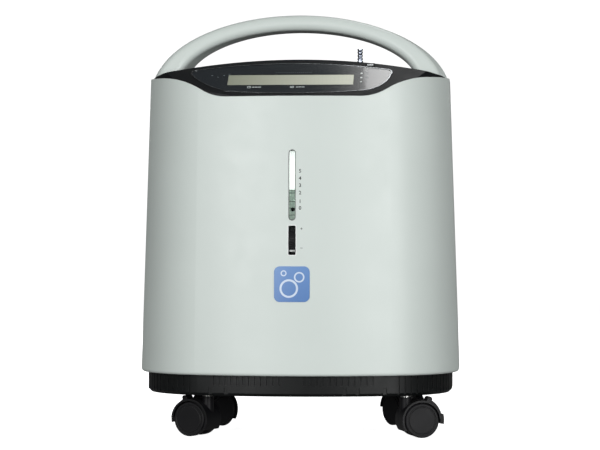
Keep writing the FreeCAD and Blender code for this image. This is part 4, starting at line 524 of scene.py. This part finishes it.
shapes = []
for text, height in frontMarks["numbers"]:
    outline, sides = letterShape(text, frontMarks["numberSize"])
    shapes.append(([(a + frontMarks["numberX"], b + height) for a, b in outline], sides))
signX, signLong, signLine = (frontMarks[key] for key in ("signX", "signLong", "signLine"))
shapes += [barShape(signX, frontMarks["plus"], signLong, signLine),
           barShape(signX, frontMarks["plus"], signLine, signLong),
           barShape(signX, frontMarks["minus"], signLong, signLine)]
printOn("flow_scale_marks", shapes, "inkGrey", "front_shell", frontPlace, backward)

slotHighlight = {"low": 0.2126, "high": 0.2463, "half": 0.0043, "gap": 0.0001, "width": 0.0009, "corner": 0.0012}


def roundedOutline(half, low, high, corner, steps=5):
    points = []
    middles = ((half - corner, high - corner), (corner - half, high - corner),
               (corner - half, low + corner), (half - corner, low + corner))
    for quarter, (x, z) in enumerate(middles):
        for i in range(steps + 1):
            turn = math.pi / 2 * (quarter + i / steps)
            points.append((x + corner * math.cos(turn), z + corner * math.sin(turn)))
    return points


# white line round the thumbwheel's slot, a painted highlight on the slot's edge
inner, outer = [roundedOutline(slotHighlight["half"] + out, slotHighlight["low"] - out, slotHighlight["high"] + out,
                               slotHighlight["corner"] + out) for out in (slotHighlight["gap"], slotHighlight["width"])]
printOn("wheel_slot_painted_highlight", [(inner + outer, bandSides(len(inner)))], "indexWhite", "front_shell", frontPlace,
        backward)

captions = {"up": 0.0262, "clockX": -0.0525, "clockRadius": 0.0024, "line": 0.0006, "longHand": 0.0018,
            "shortHand": 0.0016, "handOut": 0.0007, "tallyX": -0.0042, "tallyStep": 0.0012, "tallyCount": 4,
            "tallyTall": 0.0042, "slashLong": 0.0054, "slashLine": 0.0005, "slashTurn": 0.6,
            "dashes": ((0.0050, 0.0024), (0.0083, 0.0030), (0.0121, 0.0034)), "dashLine": 0.0014,
            "tallyDashX": -0.0016}
statusMarks = {"x": 0.0838, "barX": 0.0834, "stackX": 0.0836, "ups": (0.0366, 0.0457, 0.0548, 0.0639),
               "dot": 0.0008, "bar": 0.0030, "ring": 0.0013, "stackLow": 0.0026, "stackHigh": 0.0018,
               "stackStep": 0.0013, "line": 0.0006, "fineLine": 0.0005, "ringLine": 0.0004}
dotRow = {"up": 0.0570, "from": -0.023, "to": 0.018, "count": 19, "radius": 0.00042}
leftDashes = {"x": -0.098, "up": 0.0515, "step": 0.007, "drop": 0.0035, "count": 4, "long": 0.0022,
              "line": 0.0006}


def slopePlace(a, b):
    return onSlope(a, b, slope["above"])


def dashRow(x):
    return [barShape(x + along, captions["up"], long, captions["dashLine"])
            for along, long in captions["dashes"]]


# a clock and a tally stand where the panel has captions
clockX, captionUp, line = captions["clockX"], captions["up"], captions["line"]
shapes = [ringShape(clockX, captionUp, captions["clockRadius"], line),
          barShape(clockX, captionUp + captions["handOut"], line, captions["longHand"]),
          barShape(clockX + captions["handOut"], captionUp, captions["shortHand"], line)]
shapes += dashRow(clockX)
tallyX, tallyStep, tallyCount = (captions[key] for key in ("tallyX", "tallyStep", "tallyCount"))
shapes += [barShape(tallyX + tallyStep * i, captionUp, line, captions["tallyTall"])
           for i in range(tallyCount)]
shapes += [barShape(tallyX + tallyStep * (tallyCount - 1) / 2, captionUp, captions["slashLong"],
                    captions["slashLine"], captions["slashTurn"])]
shapes += dashRow(captions["tallyDashX"])
statusX, statusUps = statusMarks["x"], statusMarks["ups"]
shapes += [discShape(statusX, statusUps[3], statusMarks["dot"])]
printOn("panel_captions", shapes, "inkWhite", "panel_lens", slopePlace, -slopeOut)

# faint marks: a row of dots over the display, signs beside the lamps and dashes on the left
step = (dotRow["to"] - dotRow["from"]) / (dotRow["count"] - 1)
shapes = [discShape(dotRow["from"] + step * i, dotRow["up"], dotRow["radius"], 8)
          for i in range(dotRow["count"])]
shapes += [barShape(statusMarks["barX"], statusUps[0], statusMarks["bar"], statusMarks["line"]),
           ringShape(statusX, statusUps[1], statusMarks["ring"], statusMarks["ringLine"], 16),
           barShape(statusMarks["stackX"], statusUps[2], statusMarks["stackLow"], statusMarks["line"]),
           barShape(statusMarks["stackX"], statusUps[2] + statusMarks["stackStep"],
                    statusMarks["stackHigh"], statusMarks["fineLine"])]
for i in range(leftDashes["count"]):
    up = leftDashes["up"] - leftDashes["drop"] * (i % 2)
    shapes.append(barShape(leftDashes["x"] + leftDashes["step"] * i, up, leftDashes["long"],
                           leftDashes["line"]))
printOn("panel_small_marks", shapes, "inkFaint", "panel_lens", slopePlace, -slopeOut)

rockerMarks = {"x": 0.087, "up": 0.0728, "apart": 0.0019, "ring": 0.0008, "line": 0.0003, "bar": 0.0015}
shapes = [ringShape(rockerMarks["x"] - rockerMarks["apart"], rockerMarks["up"], rockerMarks["ring"],
                    rockerMarks["line"], 16),
          barShape(rockerMarks["x"] + rockerMarks["apart"], rockerMarks["up"], rockerMarks["line"],
                   rockerMarks["bar"])]
printOn("rocker_marks", shapes, "inkGrey", "power_rocker", slopePlace, -slopeOut, body="rocker")
print("marks printed")

tubeTrim = {"axisY": -0.1275, "linerRadius": 0.0052, "linerLow": 0.2535, "linerHigh": 0.3325,
            "linerThick": 0.0005, "cheekGap": 0.0004, "ringRadius": 0.00464, "ringTall": 0.0006,
            "ringNumbers": "012", "extraRings": (0.2585, 0.2865)}
shellSurface = BVHTree.FromObject(nodes["front_shell"], bpy.context.evaluated_depsgraph_get())


def roundTube(radius, start, end, steps, height):
    turns = [start + (end - start) * i / steps for i in range(steps + 1)]
    return [(radius * math.sin(turn), tubeTrim["axisY"] + radius * math.cos(turn), height) for turn in turns]


def cheekEdge(x, height):
    # front end of a cheek, just inside the casing's wall
    wall = shellSurface.ray_cast(Vector((x, tubeTrim["axisY"], height)), -backward, printing["reach"])[0]
    return x, wall.y + tubeTrim["cheekGap"], height


def linerOutline(height):
    radius = tubeTrim["linerRadius"]
    return [cheekEdge(-radius, height), *roundTube(radius, -math.pi / 2, math.pi / 2, 24, height),
            cheekEdge(radius, height)]


def bandMesh(name, bands, finish):
    # each band joins a lower and an upper outline
    points, faces = [], []
    for lower, upper in bands:
        first = len(points)
        for pair in zip(lower, upper):
            points += pair
        faces += [(first + 2 * i, first + 2 * i + 2, first + 2 * i + 3, first + 2 * i + 1)
                  for i in range(len(lower) - 1)]
    return meshPiece(name, points, faces, finish, "casing")


# card folded round the back of the tube, with cheeks that reach forward to the casing
liner = bandMesh("tube_liner", [(linerOutline(tubeTrim["linerLow"]), linerOutline(tubeTrim["linerHigh"]))],
                 "tubeLiner")
thick = liner.modifiers.new("thick", "SOLIDIFY")
thick.thickness, thick.offset = tubeTrim["linerThick"], 1
# fine rings printed round the front of the tube
ringHeights = [height for text, height in frontMarks["numbers"] if text in tubeTrim["ringNumbers"]]
ringHeights += tubeTrim["extraRings"]
halfTall = tubeTrim["ringTall"] / 2
bandMesh("tube_rings", [[roundTube(tubeTrim["ringRadius"], math.pi / 2, 3 * math.pi / 2, 20, height + edge)
                         for edge in (-halfTall, halfTall)] for height in ringHeights], "inkGrey")

wheelIndex = {"axleY": -0.123594, "axleZ": 0.22945, "radius": 0.01753, "halfWidth": 0.0034,
              "from": math.radians(39.5), "to": math.radians(49), "steps": 8}
points, faces = [], []
for i in range(wheelIndex["steps"] + 1):
    turn = wheelIndex["from"] + (wheelIndex["to"] - wheelIndex["from"]) * i / wheelIndex["steps"]
    y = wheelIndex["axleY"] - wheelIndex["radius"] * math.cos(turn)
    z = wheelIndex["axleZ"] - wheelIndex["radius"] * math.sin(turn)
    points += [(-wheelIndex["halfWidth"], y, z), (wheelIndex["halfWidth"], y, z)]
    if i:
        faces.append((2 * i - 2, 2 * i - 1, 2 * i + 1, 2 * i))
meshPiece("wheel_index", points, faces, "indexWhite", "thumbwheel")
print("flow meter trimmed")


studio = {"floor": (0.93, 0.93, 0.93), "floorShade": (0.95, 0.95, 0.95), "glow": 0.9, "sky": 0.1,
          "turns": 48, "middle": 0.5, "level": 4.4, "levelRings": 3, "sweep": 1.5, "sweepRings": 8,
          "wall": 6.0}
# place, aim, size, power and whether shiny surfaces mirror it: the rear two only fill
softboxes = (((-1.25, -2.9, 0.75), (0, 0, 0.25), 1.4, 50, True),
             ((1.7, -2.5, 0.6), (0, 0, 0.25), 1.4, 51, True),
             ((0.34, 0.5, 1.9), (0.05, 0, 0.4), 0.7, 6, True),
             ((-1.5, 2.5, 1.1), (0, 0, 0.25), 1.2, 28, False),
             ((1.5, 2.6, 0.9), (0, 0, 0.25), 1.2, 25, False))


def floorProfile():
    # reach and height: level, then a quarter round, then upright
    level, sweep = studio["level"], studio["sweep"]
    spacing = (level - studio["middle"]) / studio["levelRings"]
    profile = [(studio["middle"] + spacing * i, 0.0) for i in range(studio["levelRings"] + 1)]
    turns = [math.pi / 2 * i / studio["sweepRings"] for i in range(1, studio["sweepRings"] + 1)]
    profile += [(level + sweep * math.sin(turn), sweep * (1 - math.cos(turn))) for turn in turns]
    return profile + [(level + sweep, studio["wall"])]


def makeFloor():
    # round floor that sweeps up all the way round the object
    turns = studio["turns"]
    profile = floorProfile()
    points = [(x, y, height) for reach, height in profile for x, y in circlePoints(0, 0, reach, turns)]
    faces = [tuple(range(turns))]
    for ring in range(len(profile) - 1):
        first = ring * turns
        faces += [tuple(first + i for i in side[::-1]) for side in bandSides(turns)]
    mesh = bpy.data.meshes.new("studioFloor")
    mesh.from_pydata(points, [], faces)
    floor = bpy.data.objects.new("studioFloor", mesh)
    bpy.context.scene.collection.objects.link(floor)
    for face in mesh.polygons:
        face.use_smooth = True
    paper, tree, shader = startFinish("floorPaper", studio["floor"], 0.9)
    tree.links.new(tinted(tree, noise(tree, 3, 2), studio["floor"], studio["floorShade"]),
                   shader.inputs["Base Color"])
    shader.inputs["Emission Color"].default_value = (1, 1, 1, 1)
    shader.inputs["Emission Strength"].default_value = studio["glow"]
    mesh.materials.append(paper)
    floor.visible_diffuse = floor.visible_glossy = False  # its glow stays off the object


def makeLamp(index, spot, aim, size, power, mirrored):
    lamp = bpy.data.lights.new(f"softbox{index}", "AREA")
    lamp.shape, lamp.size, lamp.energy = "DISK", size, power
    holder = bpy.data.objects.new(f"softbox{index}", lamp)
    bpy.context.scene.collection.objects.link(holder)
    holder.location = spot
    holder.rotation_euler = aimed(spot, aim)
    holder.visible_glossy = mirrored


def aimed(spot, aim):
    return (Vector(aim) - Vector(spot)).to_track_quat("-Z", "Y").to_euler()


makeFloor()
for index, softbox in enumerate(softboxes):
    makeLamp(index, *softbox)
sky = bpy.data.worlds.new("paleSky")
sky.use_nodes = True
sky.node_tree.nodes["Background"].inputs["Color"].default_value = (1, 1, 1, 1)
sky.node_tree.nodes["Background"].inputs["Strength"].default_value = studio["sky"]
bpy.context.scene.world = sky
bpy.context.scene.view_settings.view_transform = "Standard"
bpy.context.scene.view_settings.look = "None"

view = {"from": (0.2197, -2.8134, 0.238), "to": (0.0, -0.022, 0.2474), "lens": 140, "sensor": 36}
lensData = bpy.data.cameras.new("camera")
lensData.lens, lensData.sensor_width = view["lens"], view["sensor"]
camera = bpy.data.objects.new("camera", lensData)
bpy.context.scene.collection.objects.link(camera)
camera.location = view["from"]
camera.rotation_euler = aimed(view["from"], view["to"])
bpy.context.scene.camera = camera
print("studio ready")
